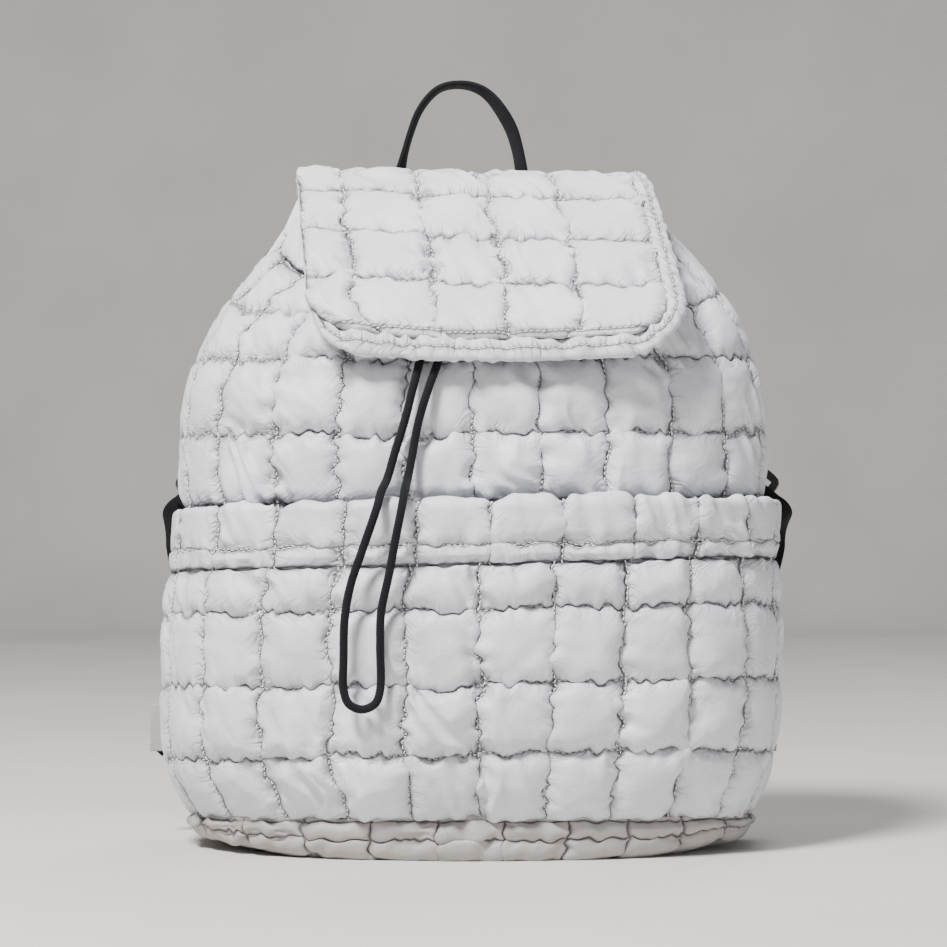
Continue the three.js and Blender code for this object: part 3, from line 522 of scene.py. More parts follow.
def quilt(flat, seam_rows, seam_columns, seed, height=8.2, seat=-1.5, reach=10.0, crown=0.3,
          pucker=(1.0, 1.0), jag=1.1, folds=2.0, period=6.6, height_map=None, ruche=0.0):
    """Stuffs a sewn sheet: steep pillows between its seams, gathered cloth along the stitches.

    flat is the grid of the seam surface. pucker is how much the cloth gathers along the
    seams of the rows and of the columns, and ruche gathers the whole sheet along its rows.
    """
    normals = grid_normals(flat)
    across_way = np.gradient(flat, axis=1)
    across_way /= np.maximum(np.linalg.norm(across_way, axis=2, keepdims=True), 1e-9)
    up_way = np.cross(normals, across_way)
    across, upward = cloth_places(flat)
    from_row, from_column = seam_distances(across, upward, seam_rows, seam_columns)
    to_row, to_column = np.abs(from_row), np.abs(from_column)
    nearest = np.minimum(to_row, to_column)

    def field(wide, tall, salt):
        return noise_field(across, upward, wide, tall, seed + salt)

    # Pillows, each with a fullness of its own and a crown
    random = np.random.default_rng(seed)
    cells = [np.clip(np.searchsorted(seams, np.arange(count), side="right") - 1, 0, len(seams) - 2)
             for seams, count in ((seam_rows, flat.shape[0]), (seam_columns, flat.shape[1]))]
    shape = (len(seam_rows) - 1, len(seam_columns) - 1)
    full = random.uniform(0.86, 1.12, shape)[cells[0]][:, cells[1]]
    pillow = shoulder(to_row, reach) * shoulder(to_column, reach)
    centre = np.exp(-((np.minimum(to_row, 22) - 22) ** 2 + (np.minimum(to_column, 19) - 19) ** 2) / 300)
    rise = pillow * (1 - crown + crown * centre) * full
    rise = rise * (1 + 0.13 * field(21, 24, 1))

    # Gathers: short ridges square to each seam, which die out into the pillow
    def gathers(along, away, distance, salt):
        side = noise_field(along + 0.35 * away, away, period, 11, seed + salt)
        side += 0.55 * noise_field(along - 0.5 * away, away, 2.1 * period, 16, seed + salt + 1)
        patchy = 0.75 + 0.5 * noise_field(along, away, 17, 17, seed + salt + 2)
        return patchy * side, np.minimum(distance / 1.8, 1) * np.exp(-distance / 5.5)

    drawn_rows, near_rows = gathers(across, upward, to_row, 10)
    drawn_columns, near_columns = gathers(upward, across, to_column, 20)
    inside_columns, inside_rows = shoulder(to_column, 4), shoulder(to_row, 4)
    ridges = GATHER_HEIGHT * pucker[0] * drawn_rows * near_rows * inside_columns
    ridges += GATHER_HEIGHT * pucker[1] * drawn_columns * near_columns * inside_rows

    # Longer soft folds that run out of the seams and across the pillows
    bend_u = across + 5 * field(26, 26, 30)
    bend_v = upward + 5 * field(26, 26, 31)
    crease = noise_field(bend_u + 0.6 * bend_v, bend_v - 0.6 * bend_u, 9, 34, seed + 32)
    crease = 1 - 2.2 * np.abs(crease)
    strength = np.clip(field(30, 30, 33) + 0.25, 0, 1)
    soft = folds * strength * crease * shoulder(nearest, 7)
    soft += 0.22 * folds * noise_field(bend_u, bend_v, 12, 12, seed + 34) * shoulder(nearest, 8)

    if np.any(ruche):
        drawn = noise_field(across + 0.3 * upward, upward, period, 30, seed + 50)
        drawn += 0.6 * noise_field(across - 0.4 * upward, upward, 2.3 * period, 40, seed + 51)
        soft += ruche * drawn * shoulder(to_row, 3.5)
    scale = 1.0 if height_map is None else height_map
    lift = seat + scale * (height * rise) + np.sqrt(scale) * soft
    points = flat + normals * lift[..., None]

    # The stitches pull the seam to and fro, and the cloth beside it follows
    to_edge = np.minimum(upward - upward[:1], upward[-1:] - upward)
    fade = np.exp(-to_row / SWAY_REACH) * np.clip(to_edge / EDGE_CALM, 0.3, 1)
    sway = cusps(field(6.0, 60, 40)) + field(24, 60, 42)
    points += up_way * (jag * fade * sway * shoulder(to_column, 3))[..., None]
    to_side = np.minimum(across - across[:, :1], across[:, -1:] - across)
    fade = np.exp(-to_column / SWAY_REACH) * np.clip(to_side / EDGE_CALM, 0.3, 1)
    sway = cusps(field(60, 5.6, 41)) + field(60, 24, 43)
    points += across_way * (jag * fade * sway * shoulder(to_row, 3))[..., None]

    free = (nearest > 0.9).astype(float)[..., None]
    relax(points, free, RELAX_STEPS, STRETCH, normals, 0.02)

    # The gathers stand up from the settled cloth and lean over the seam in scallops
    points += grid_normals(points) * (np.sqrt(scale) * ridges)[..., None]
    over = SCALLOP * (0.35 + np.clip(drawn_rows, -0.35, 1)) * lean_over(from_row) * inside_columns
    points -= up_way * (over * np.sqrt(scale))[..., None]
    over = SCALLOP * (0.35 + np.clip(drawn_columns, -0.35, 1)) * lean_over(from_column) * inside_rows
    points -= across_way * (over * np.sqrt(scale))[..., None]
    return points


def cusps(waves):
    """Turns smooth waves into scallops: round on one side, pointed on the other."""
    return 1 - 3 * np.abs(waves)


def lean_over(away):
    """Share of the scallops' lean, most at 2 mm from a seam and towards it."""
    return away / 2 * np.exp(1 - np.abs(away) / 2)


# Meshes

def grid_faces(index, flipped=False):
    a, b, c, d = index[:-1, :-1], index[:-1, 1:], index[1:, 1:], index[1:, :-1]
    order = (a, d, c, b) if flipped else (a, b, c, d)
    return np.stack([k.ravel() for k in order], axis=1).tolist()


def zip_faces(first, second):
    """Triangles between two lines of indices that may have different counts."""
    faces = []
    i = j = 0
    last_first, last_second = len(first) - 1, len(second) - 1
    while i < last_first or j < last_second:
        next_first = (i + 1) / last_first if i < last_first else 2
        next_second = (j + 1) / last_second if j < last_second else 2
        if next_first <= next_second:
            faces.append((first[i], second[j], first[i + 1]))
            i += 1
        else:
            faces.append((first[i], second[j], second[j + 1]))
            j += 1
    return faces


def make_object(name, points, faces, material, attributes=None):
    mesh = bpy.data.meshes.new(name)
    mesh.from_pydata((np.asarray(points) * MM).tolist(), [], faces)
    mesh.validate()
    mesh.shade_smooth()
    for key, (kind, values) in (attributes or {}).items():
        layer = mesh.attributes.new(key, kind, "POINT")
        field = "vector" if kind == "FLOAT_VECTOR" else "value"
        layer.data.foreach_set(field, np.asarray(values, np.float32).ravel())
    piece = bpy.data.objects.new(name, mesh)
    bpy.context.collection.objects.link(piece)
    piece.data.materials.append(material)
    return piece


def padded_piece(name, outer, inner, material, seam_rows, seam_columns, seed, seam_reach=1.5):
    """Closed body of a puffed outer face and a plain inner face, with what its cloth needs."""
    rows, columns = outer.shape[:2]
    outer_index = np.arange(rows * columns).reshape(rows, columns)
    inner_index = rows * columns + np.arange(inner.shape[0] * inner.shape[1]).reshape(inner.shape[:2])
    faces = grid_faces(outer_index) + grid_faces(inner_index, True)
    faces += zip_faces(outer_index[0], inner_index[0])
    faces += zip_faces(inner_index[-1], outer_index[-1])
    faces += zip_faces(inner_index[:, 0], outer_index[:, 0])
    faces += zip_faces(outer_index[:, -1], inner_index[:, -1])
    points = np.concatenate([outer.reshape(-1, 3), inner.reshape(-1, 3)])

    # Place on the cloth, nearness to the seams, where the materials paint shade, and a tone for each cell
    along, upward = cloth_places(outer)
    to_row, to_column = (np.abs(k) for k in seam_distances(along, upward, seam_rows, seam_columns))
    near = np.exp(-((np.minimum(to_row, to_column) / seam_reach) ** 2))
    gathers = np.stack([np.exp(-to_row / 4.2), np.exp(-to_column / 4.2), np.zeros_like(near)], axis=2)
    random = np.random.default_rng(seed)
    tones = random.uniform(0, 1, (len(seam_rows) + 1, len(seam_columns) + 1))
    tone = tones[np.searchsorted(seam_rows, np.arange(rows))]
    tone = tone[:, np.searchsorted(seam_columns, np.arange(columns))]
    cloth = np.stack([along * MM, upward * MM, np.zeros_like(along)], axis=2)
    extra = inner.shape[0] * inner.shape[1]
    inner_cloth = inner.reshape(-1, 3) * MM
    attributes = {
        "cloth": ("FLOAT_VECTOR", np.concatenate([cloth.reshape(-1, 3), inner_cloth])),
        "seam": ("FLOAT", np.concatenate([near.ravel(), np.zeros(extra)])),
        "gathers": ("FLOAT_VECTOR", np.concatenate([gathers.reshape(-1, 3), np.zeros((extra, 3))])),
        "tone": ("FLOAT", np.concatenate([tone.ravel(), np.full(extra, 0.5)])),
    }
    piece = make_object(name, points, faces, material, attributes)
    return piece


def make_stitches(name, lines, material, spacing, length, radius, lift):
    """Short threads along lines of (points, normals), joined in one mesh."""
    sides, points, faces = 4, [], []
    ring = [(math.cos(2 * math.pi * k / sides), math.sin(2 * math.pi * k / sides)) for k in range(sides)]
    for line, normals in lines:
        travelled = distances(line)
        for start in np.arange(spacing / 2, travelled[-1] - length, spacing):
            at = start + np.linspace(0, length, 3)
            middle = sample(at, travelled, line)
            out = unit(sample(at, travelled, normals))
            along = middle[-1] - middle[0]
            along /= max(np.linalg.norm(along), 1e-9)
            first = len(points)
            for place, normal, share in zip(middle, out, (0.35, 1.0, 0.35)):
                side = np.cross(along, normal)
                raised = place + normal * (lift * share)
                for c, s in ring:
                    points.append(raised + (side * c + normal * s) * radius * (0.55 + 0.45 * share))
            for k in range(2):
                for i in range(sides):
                    a, b = first + k * sides + i, first + k * sides + (i + 1) % sides
                    faces.append((a, b, b + sides, a + sides))
            faces.append(tuple(first + i for i in reversed(range(sides))))
            faces.append(tuple(first + 2 * sides + i for i in range(sides)))
    return make_object(name, points, faces, material)


# Drawcord, the only free cord
CORD_DIAMETER = 4.8
CORD_ROUTE = [  # its centre line in the frame
    (-28, -30.8, 315.2), (-28, -34.6, 312.2), (-28.2, -40.6, 309.4), (-28.4, -48.4, 304.8),
    (-28.5, -59.4, 296), (-28.5, -67.6, 285), (-28.8, -72.6, 274), (-33, -77, 256),
    (-37.5, -78.6, 238), (-42.5, -79, 222), (-46.5, -82, 208), (-49.5, -90, 201),
    (-52, -95.8, 191.5), (-59.1, -95.8, 170.8), (-66.1, -95.6, 149.8), (-69, -95.6, 132.6),
    (-69.6, -95.4, 111.7), (-69.5, -95, 94), (-66.7, -94.9, 87.1), (-59.8, -94.8, 84.2),
    (-52.9, -94.9, 87.1), (-50.1, -95.2, 94), (-50, -96, 118.7), (-49.5, -96.2, 135.9),
    (-45.2, -96.2, 156.8), (-41.9, -96, 174.8), (-38.6, -95.8, 191.5), (-37, -90, 201),
    (-35.5, -82, 208), (-33.2, -79, 220), (-29.6, -78.6, 239), (-24.2, -77, 257),
    (-18.6, -72.6, 273.5), (-17.6, -67.6, 285), (-17.6, -59.6, 296.1), (-17.8, -48.4, 304.8),
    (-18, -40.6, 309.4), (-18, -34.6, 312.2), (-18, -30.8, 315.2),
]


def spline(points, count):
    """Evenly spaced points on a centripetal Catmull-Rom curve through the given ones."""
    points = np.asarray(points, float)
    first = 2 * points[0] - points[1]
    last = 2 * points[-1] - points[-2]
    points = np.vstack([first, points, last])
    fine = []
    for k in range(1, len(points) - 2):
        p = points[k - 1:k + 3]
        knots = np.append(0, np.cumsum(np.linalg.norm(np.diff(p, axis=0), axis=1) ** 0.5))
        t = np.linspace(knots[1], knots[2], 24, endpoint=False)[:, None]
        a = [(knots[i + 1] - t) / (knots[i + 1] - knots[i]) * p[i]
             + (t - knots[i]) / (knots[i + 1] - knots[i]) * p[i + 1] for i in range(3)]
        b = [(knots[i + 2] - t) / (knots[i + 2] - knots[i]) * a[i]
             + (t - knots[i]) / (knots[i + 2] - knots[i]) * a[i + 1] for i in range(2)]
        fine.append((knots[2] - t) / (knots[2] - knots[1]) * b[0]
                    + (t - knots[1]) / (knots[2] - knots[1]) * b[1])
    fine = np.vstack(fine + [points[-2:-1]])
    travelled = distances(fine)
    return sample(np.linspace(0, travelled[-1], count), travelled, fine), travelled[-1]


def tube_frames(path):
    """Two directions across a path at each point, carried along it without twist."""
    along = unit(np.gradient(path, axis=0))
    side = np.cross(along[0], (0.0, 0.0, 1.0))
    if np.linalg.norm(side) < 0.1:
        side = np.cross(along[0], (0.0, 1.0, 0.0))
    sides = []
    for direction in along:
        side = side - direction * side.dot(direction)
        side /= np.linalg.norm(side)
        sides.append(side)
    sides = np.array(sides)
    return sides, np.cross(along, sides)


def ring_object(name, points, across, distance, material):
    """Closed body of rings along a path, with its place on the cloth."""
    index = np.arange(points.shape[0] * points.shape[1]).reshape(points.shape[:2])
    index = np.hstack([index, index[:, :1]])
    faces = grid_faces(index, True)
    faces.append([int(k) for k in index[0, :-1]])
    faces.append([int(k) for k in index[-1, :-1][::-1]])
    cloth = np.stack(np.broadcast_arrays(across * MM, distance[:, None] * MM, 0.0), axis=2)
    return make_object(name, points.reshape(-1, 3), faces, material,
                       {"cloth": ("FLOAT_VECTOR", cloth.reshape(-1, 3))})


def tube(name, path, radius, around, material, relief=None):
    """Closed tube along a path; relief(angle, distance) adds to its radius."""
    sides, ups = tube_frames(path)
    angle = np.linspace(0, 2 * math.pi, around, endpoint=False)
    distance = distances(path)
    size = np.full((len(path), around), float(radius))
    if relief is not None:
        size = size + relief(angle[None, :], distance[:, None])
    ring = np.cos(angle)[None, :, None] * sides[:, None] + np.sin(angle)[None, :, None] * ups[:, None]
    points = path[:, None] + ring * size[..., None]
    return ring_object(name, points, angle[None, :] * radius, distance, material)


BRAID_STRANDS = 8
BRAID_PITCH = 7.0


def braid(angle, distance):
    """Relief of a round braid: strands that cross over each other both ways."""
    turn = 2 * math.pi * distance / BRAID_PITCH
    first = np.cos(BRAID_STRANDS / 2 * (angle + turn))
    second = np.cos(BRAID_STRANDS / 2 * (angle - turn))
    return 0.13 * np.maximum(first, second)


def make_drawcord(material):
    path, length = spline(CORD_ROUTE, 1100)
    cord = tube("drawcord_braid", path, CORD_DIAMETER / 2 - 0.12, 16, material, braid)
    finish_piece(cord, "drawcord")


def finish_piece(piece, solid=None):
    """Hangs a piece on the root body and hides the solid that it stands for."""
    if solid:
        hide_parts(solid)
    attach(piece, "root")


# Quilted wraps

def wrap_columns(steps):
    return cell_stops(list(range(-COLUMNS, COLUMNS + 1)), [steps] * (2 * COLUMNS))


def side_fading(stops):
    """Share of a cell's height by column: the sides are drawn flatter than the front."""
    share = np.clip((np.abs(stops) - 2.6) / 2.6, 0, 1)
    return (1 - 0.58 * smooth(share))[None]


def make_front_pocket(material):
    stops, column_marks = wrap_columns(CELL_STEPS)
    levels, row_marks = cell_stops([0.02, 1, 2, 3, 3.97], [CELL_STEPS] * 3 + [CELL_STEPS * 5 // 8])
    flat = wrap_surface(POCKET_ROWS, POCKET_SEAM, stops, levels, 0.11)
    outer = quilt(flat, row_marks, column_marks, 11, height_map=side_fading(stops))
    outer = tuck(tuck(outer, True, 6, 0.8), False, 5, 1.6)
    row_marks = row_marks + 4
    inner = inner_face(POCKET_ROWS, POCKET_SEAM, [0.02, 1, 2, 3, 3.97])
    return wrap_piece("front_pocket_quilt", "front_pocket", outer, inner, material, row_marks,
                      column_marks, 21)


def wrap_piece(name, solid, outer, inner, material, row_marks, column_marks, seed):
    keep_in_front(outer)
    piece = padded_piece(name, outer, inner, material, row_marks, column_marks, seed)
    finish_piece(piece, solid)
    return outer, row_marks, column_marks


def keep_in_front(points):
    """Stops at the back panel, where the wraps are sewn to it."""
    points[..., 1] = np.minimum(points[..., 1], BACK_REACH)


def tuck(points, at_top, length, depth, steps=4):
    """Carries the lower or upper edge of a grid on under the piece that it is sewn to."""
    normals = grid_normals(points)
    edge, next_row = (points[-1], points[-6]) if at_top else (points[0], points[5])
    out = normals[-1] if at_top else normals[0]
    away = unit(edge - next_row)
    shares = np.linspace(0, 1, steps + 1)[1:, None, None]
    extra = edge[None] + away[None] * length * shares - out[None] * depth * np.sqrt(shares)
    return np.concatenate([points, extra]) if at_top else np.concatenate([extra[::-1], points])


def inner_face(rows, seam_offset, levels):
    columns = np.linspace(-COLUMNS, COLUMNS, 4 * COLUMNS + 1)
    surface = wrap_surface(rows, seam_offset, columns, levels)
    inner = surface - grid_normals(surface) * SEAM_WALL
    keep_in_front(inner)
    return inner


def roll_over(flat, radius, drop, steps, tail):
    """Carries the upper edge of a grid over a round fold and down behind it."""
    across = unit(np.gradient(flat[-1], axis=0))
    up = unit(flat[-1] - flat[-4])
    out = unit(np.cross(across, up))
    rows = [flat]
    for angle in np.linspace(0, math.pi, steps + 1)[1:]:
        rows.append((flat[-1] + up * radius * math.sin(angle) - out * radius * (1 - math.cos(angle)))[None])
    for share in np.linspace(0, 1, tail + 1)[1:]:
        rows.append((flat[-1] - out * 2 * radius - up * drop * share)[None])
    return np.concatenate(rows)


def make_pocket_hem(material):
    stops, column_marks = wrap_columns(CELL_STEPS)
    low, high = CELL_STEPS // 2, CELL_STEPS * 3 // 4
    levels, _ = cell_stops([4.03, 5, 5.7], [low, high])
    flat = wrap_surface(POCKET_ROWS, POCKET_SEAM, stops, levels, 0.21)
    steps, tail = CELL_STEPS // 3, CELL_STEPS // 4
    flat = roll_over(flat, 2.6, 9, steps, tail)
    row_marks = np.array([0, low, len(flat) - 1])
    outer = quilt(flat, row_marks, column_marks, 12, height=5.0, reach=7, jag=0.55, folds=1.2, ruche=0.6,
                  height_map=side_fading(stops))
    outer = tuck(outer, False, 3, 1.2)
    row_marks = row_marks + 4
    inner = inner_face(POCKET_ROWS, POCKET_SEAM, [4.03, 5, 5.6])
    return wrap_piece("pocket_hem_quilt", "pocket_hem", outer, inner, material, row_marks, column_marks, 22)


def make_body_wrap(material):
    stops, column_marks = wrap_columns(CELL_STEPS)
    levels, row_marks = cell_stops([4, 5, 6, 7, 7.97], [CELL_STEPS] * 3 + [CELL_STEPS // 2])
    flat = wrap_surface(BODY_ROWS, 0, stops, levels)
    outer = quilt(flat, row_marks, column_marks, 13, height_map=side_fading(stops))
    hidden = wrap_surface(BODY_ROWS, 0, stops, [0.02, 1, 2, 3, 3.6, 3.9])
    outer = tuck(np.concatenate([hidden, outer]), True, 4, 1.2)
    row_marks = row_marks + len(hidden)
    inner = inner_face(BODY_ROWS, 0, [0.02, 1, 2, 3, 4, 5, 6, 7, 7.97])
    return wrap_piece("body_wrap_quilt", "body_wrap", outer, inner, material, row_marks, column_marks, 23)


def make_mouth_casing(material):
    stops, _ = wrap_columns(CELL_STEPS)
    levels, _ = cell_stops([8.03, 8.95], [CELL_STEPS // 2])
    flat = wrap_surface(BODY_ROWS, 0, stops, levels)
    flat = roll_over(flat, 1.6, 6, CELL_STEPS // 4, 3)
    row_marks = np.array([0, len(flat) - 1])
    gathers = np.array([0, len(stops) - 1])
    outer = quilt(flat, row_marks, gathers, 14, height=2.2, seat=-0.2, reach=5, folds=0.6, period=5.0,
                  ruche=0.9)
    inner = inner_face(BODY_ROWS, 0, [8.03, 8.7])
    wrap_piece("mouth_casing_ruche", "mouth_casing", outer, inner, material, row_marks, gathers, 24)


def make_back_panel(material):
    steps = CELL_STEPS // 2
    shares = np.linspace(1, -1, 9)
    columns, column_marks = cell_stops(list(shares), [steps] * 8)
    levels, row_marks = cell_stops(list(range(10)), [steps] * 9)
    half = SEAM_HALF * column_value(BODY_ROWS, SEAM, levels) + POCKET_SEAM + 3
    z = BODY_HEIGHT * column_value(BODY_ROWS, BACK, levels)
    flat = np.stack([half[:, None] * columns[None], np.full((len(levels), len(columns)), BACK_FACE),
                     np.broadcast_to(z[:, None], (len(levels), len(columns)))], axis=2)
    outer = quilt(flat, row_marks, column_marks, 15, height=4.6, seat=0.0, reach=9, folds=1.0)
    inner = flat[::steps, ::steps].copy()
    inner[..., 1] = BACK_REACH + 0.35
    piece = padded_piece("back_panel_quilt", outer, inner, material, row_marks, column_marks, 25)
    finish_piece(piece, "back_panel")
    return outer, row_marks, column_marks


# Base

def make_base_panel(material):
    """Padded dish: quilted wall that turns under the bag, its lip up inside, its floor inside."""
    cell_steps = CELL_STEPS * 3 // 4
    stops, column_marks = wrap_columns(cell_steps)
    rim = wrap_surface(POCKET_ROWS, POCKET_SEAM, stops, [0.0], 0.5)[0]
    seam_x, seam_z = rim[-1, 0], rim[-1, 2]
    back_steps = 8 * cell_steps
    shares = np.linspace(1, -1, back_steps + 1)[1:-1]
    back = np.stack(np.broadcast_arrays(shares * (seam_x + 2), BACK_FACE, seam_z), axis=1)
    outline = np.concatenate([rim, back])
    count = len(outline)
    column_marks = np.append(column_marks, column_marks[-1] + cell_steps * np.arange(1, 8))
    lift = 9 * (outline[:, 0] / seam_x) ** 2
    profile = [  # shares of the outline's width and depth, and the height, from the wall down and under
        (0.985, 0.975, lambda p: p[:, 2] + 2.2),
        (1.0, 1.0, lambda p: p[:, 2] - 0.4),
        (1.014, 1.012, lambda p: 0.70 * (p[:, 2] - 0.4) + 0.3 * lift),
        (1.004, 1.006, lambda p: 0.42 * (p[:, 2] - 0.4) + 0.5 * lift),
        (0.975, 0.975, lambda p: 0.17 * (p[:, 2] - 0.4) + 0.55 * lift),
        (0.92, 0.92, lambda p: 1.0 + 0.6 * lift),
        (0.80, 0.84, lambda p: 0.25 + 0.3 * lift),
        (0.60, 0.72, lambda p: np.zeros(count)),
    ]
    rings = np.array([np.stack([outline[:, 0] * wide, outline[:, 1] * deep, height(outline)], axis=1)
                      for wide, deep, height in profile])
    steps = CELL_STEPS // 3
    fine = []
    for k in range(len(rings) - 1):
        a, b, c, d = (rings[min(max(k + i, 0), len(rings) - 1)] for i in (-1, 0, 1, 2))
        for t in np.arange(steps) / steps:
            fine.append(catmull_rom(a, b, c, d, t))
    fine.append(rings[-1])
    flat = np.array(fine)[::-1]
    flat = np.concatenate([flat, flat[:, :1]], axis=1)
    marks = np.append(column_marks, count)
    row_marks = np.array([0, 4 * steps + steps // 3, 6 * steps, len(flat) - 1])
    outer = quilt(flat, row_marks, marks, 16, height=4.4, seat=-0.9, reach=8, pucker=(0.9, 0.9), jag=0.8,
                  folds=1.0)
    outer[:, -1] = outer[:, 0]
    outer[..., 2] = np.maximum(outer[..., 2], 0.0)
    outer = outer[:, :-1]
    rows = len(outer)
    # The lip under the walls, the way down to the floor inside, and both floors
    lip = outline * (0.93, 0.85, 1)
    lip[:, 2] = outline[:, 2] - 0.4
    floor = outline * (0.86, 0.76, 0)
    floor[:, 2] = 8
    points = np.concatenate([outer.reshape(-1, 3), lip, floor, [(0, 0, 0.0), (0, 0, 8.0)]])
    index = np.arange((rows + 2) * count).reshape(rows + 2, count)
    index = np.hstack([index, index[:, :1]])
    faces = grid_faces(index)
    under, top = (rows + 2) * count, (rows + 2) * count + 1
    for i in range(count):
        faces.append([under, int(index[0, i + 1]), int(index[0, i])])
        faces.append([top, int(index[-1, i]), int(index[-1, i + 1])])
    along = np.cumsum(np.linalg.norm(np.diff(outline, axis=0, prepend=outline[:1]), axis=1))
    upward = np.arange(rows + 2) * 1.4
    cloth = np.stack(np.broadcast_arrays(along[None] * MM, upward[:, None] * MM, 0.0), axis=2).reshape(-1, 3)
    # Nearness to the seams, where the material paints shade
    gap_row = np.abs(np.arange(rows + 2)[:, None] - row_marks[None, 1:]).min(axis=1) * 1.5
    gap_column = np.abs(np.arange(count)[:, None] - marks[None]).min(axis=1) * 1.6
    near = np.exp(-((np.minimum(gap_row[:, None], gap_column[None]) / 1.9) ** 2)).ravel()
    attributes = {
        "cloth": ("FLOAT_VECTOR", np.vstack([cloth, [(0, 0, 0), (0, 0, 0)]])),
        "seam": ("FLOAT", np.append(near, [0, 0])),
        "tone": ("FLOAT", np.full(len(points), 0.5)),
    }
    piece = make_object("base_panel_quilt", points, faces, material, attributes)
    finish_piece(piece, "base_panel")


# Flap

FLAP_FRONT = 83.0
FLAP_PROFILE = [  # share of the way from its root to its front edge, height of BODY_HEIGHT
    (0, 0.999),
    (0.007, 1.022),
    (0.06, 1.034),
    (0.311, 1.008),
    (0.53, 0.946),
    (0.735, 0.874),
    (0.917, 0.793),
    (1, 0.731),
]
FLAP_HALF_BACK = 101.5
FLAP_HALF_FRONT = 105.0
FLAP_SHIFT_BACK = -5.0
FLAP_SHIFT_FRONT = 15.5
FLAP_CORNER = 26.0
FLAP_COLUMNS = [-1, -0.744, -0.318, 0.069, 0.5, 1]
FLAP_ROOT_ROW = 25.0
FLAP_TILT = 4.0  # the top's right end under its left
HEM_SAG = 7.5  # middle of the flap's lower edge below its corners
ROW_DRIFT = 8.0  # how far the cross seams run down towards the right
BORDER_HEM = 12.5
BORDER_LEFT = 2.6  # the left edge is a plain fold
BORDER_RIGHT = 10.0
BORDER_ROLL = 3.4  # part of the border's width that its rolled edge takes up
FLAP_ROOT = BACK_FACE + SEAM_WALL

flap_line, flap_reach = spline([(0, FLAP_ROOT - along * (FLAP_ROOT + FLAP_FRONT), height * BODY_HEIGHT)
                                for along, height in FLAP_PROFILE], 800)
flap_length = flap_reach - BORDER_HEM - HEM_SAG


def flap_points(x, down, lift=0.0):
    """Points of the flap's seam surface from distances sideways and down from its root."""
    x, down, lift = np.broadcast_arrays(*(np.asarray(k, float) for k in (x, down, lift)))
    side = np.clip(x / FLAP_HALF_FRONT, -1, 1)
    fall = np.clip(down / flap_length, 0, 1)
    drift = np.clip((side + 0.8) / 1.1, 0, 1)
    drift = ROW_DRIFT * smooth(drift) * np.sin(math.pi * fall)
    down = down + HEM_SAG * (1 - side**2) * fall**2 + drift
    share = np.clip(down / flap_reach, 0, 1)
    at = np.linspace(0, 1, len(flap_line))
    y, z = (np.interp(share, at, flap_line[:, k]) for k in (1, 2))
    slope = unit(np.gradient(flap_line, axis=0))
    dy, dz = (np.interp(share, at, slope[:, k]) for k in (1, 2))
    shift = FLAP_SHIFT_BACK + (FLAP_SHIFT_FRONT - FLAP_SHIFT_BACK) * share
    tilt = FLAP_TILT * (0.5 + 0.5 * side) * (1 - share)
    return np.stack([x + shift, y + dz * lift, z - dy * lift - tilt], axis=-1)


def flap_half(down, border):
    half = FLAP_HALF_BACK + (FLAP_HALF_FRONT - FLAP_HALF_BACK) * down / flap_length - border
    past = np.clip((down - (flap_length - FLAP_CORNER)) / FLAP_CORNER, 0, 1)
    return half - FLAP_CORNER * (1 - np.sqrt(np.maximum(1 - past**2, 0)))


def flap_sideways(share, down):
    """Distance sideways at a share of the panel's half width, which differs left and right."""
    return share * np.where(share < 0, flap_half(down, BORDER_LEFT), flap_half(down, BORDER_RIGHT))


def make_flap_panel(material):
    steps = CELL_STEPS
    columns, column_marks = cell_stops(FLAP_COLUMNS, [steps] * 5)
    row_seams = [0] + list(np.linspace(FLAP_ROOT_ROW, flap_length, 5))
    down, row_marks = cell_stops(row_seams, [steps // 2] + [steps] * 4)
    flat = flap_points(flap_sideways(columns[None], down[:, None]), down[:, None])
    # Rows run down from the root, so they are turned round to face outward
    flat = flat[::-1]
    row_marks = (len(down) - 1 - row_marks)[::-1]
    outer = quilt(flat, row_marks, column_marks, 17, height=4.8, seat=-0.6, reach=9, pucker=(0.7, 1.3),
                  folds=1.5)
    inner_down = np.linspace(0, flap_length, 12)[::-1, None]
    inner = flap_points(flap_sideways(np.linspace(-1, 1, 9)[None], inner_down), inner_down, -SEAM_WALL)
    stitched_rows = np.insert(row_marks, 1, 5)
    piece = padded_piece("flap_panel_quilt", outer, inner, material, stitched_rows, column_marks, 27)
    finish_piece(piece, "flap_panel")
    return outer, row_marks, column_marks


BORDER_STEP = 0.85
BORDER_STITCH_ROW = 11  # grid row of the border that its topstitching follows


def flap_outline():
    """Line round the panel's sides and front, evenly spaced, as distances sideways and down."""
    straight = flap_length - FLAP_CORNER
    angle = np.linspace(0, math.pi / 2, 30)[1:]
    down = np.append(np.linspace(0.5 * FLAP_ROOT_ROW, straight, 60), straight + FLAP_CORNER * np.sin(angle))
    left = np.stack([-flap_half(down, BORDER_LEFT), down], axis=1)
    right = np.stack([flap_half(down, BORDER_RIGHT), down], axis=1)
    line = np.concatenate([left, right[::-1]])
    travelled = distances(line)
    return sample(np.linspace(0, travelled[-1], int(travelled[-1] / BORDER_STEP)), travelled, line)


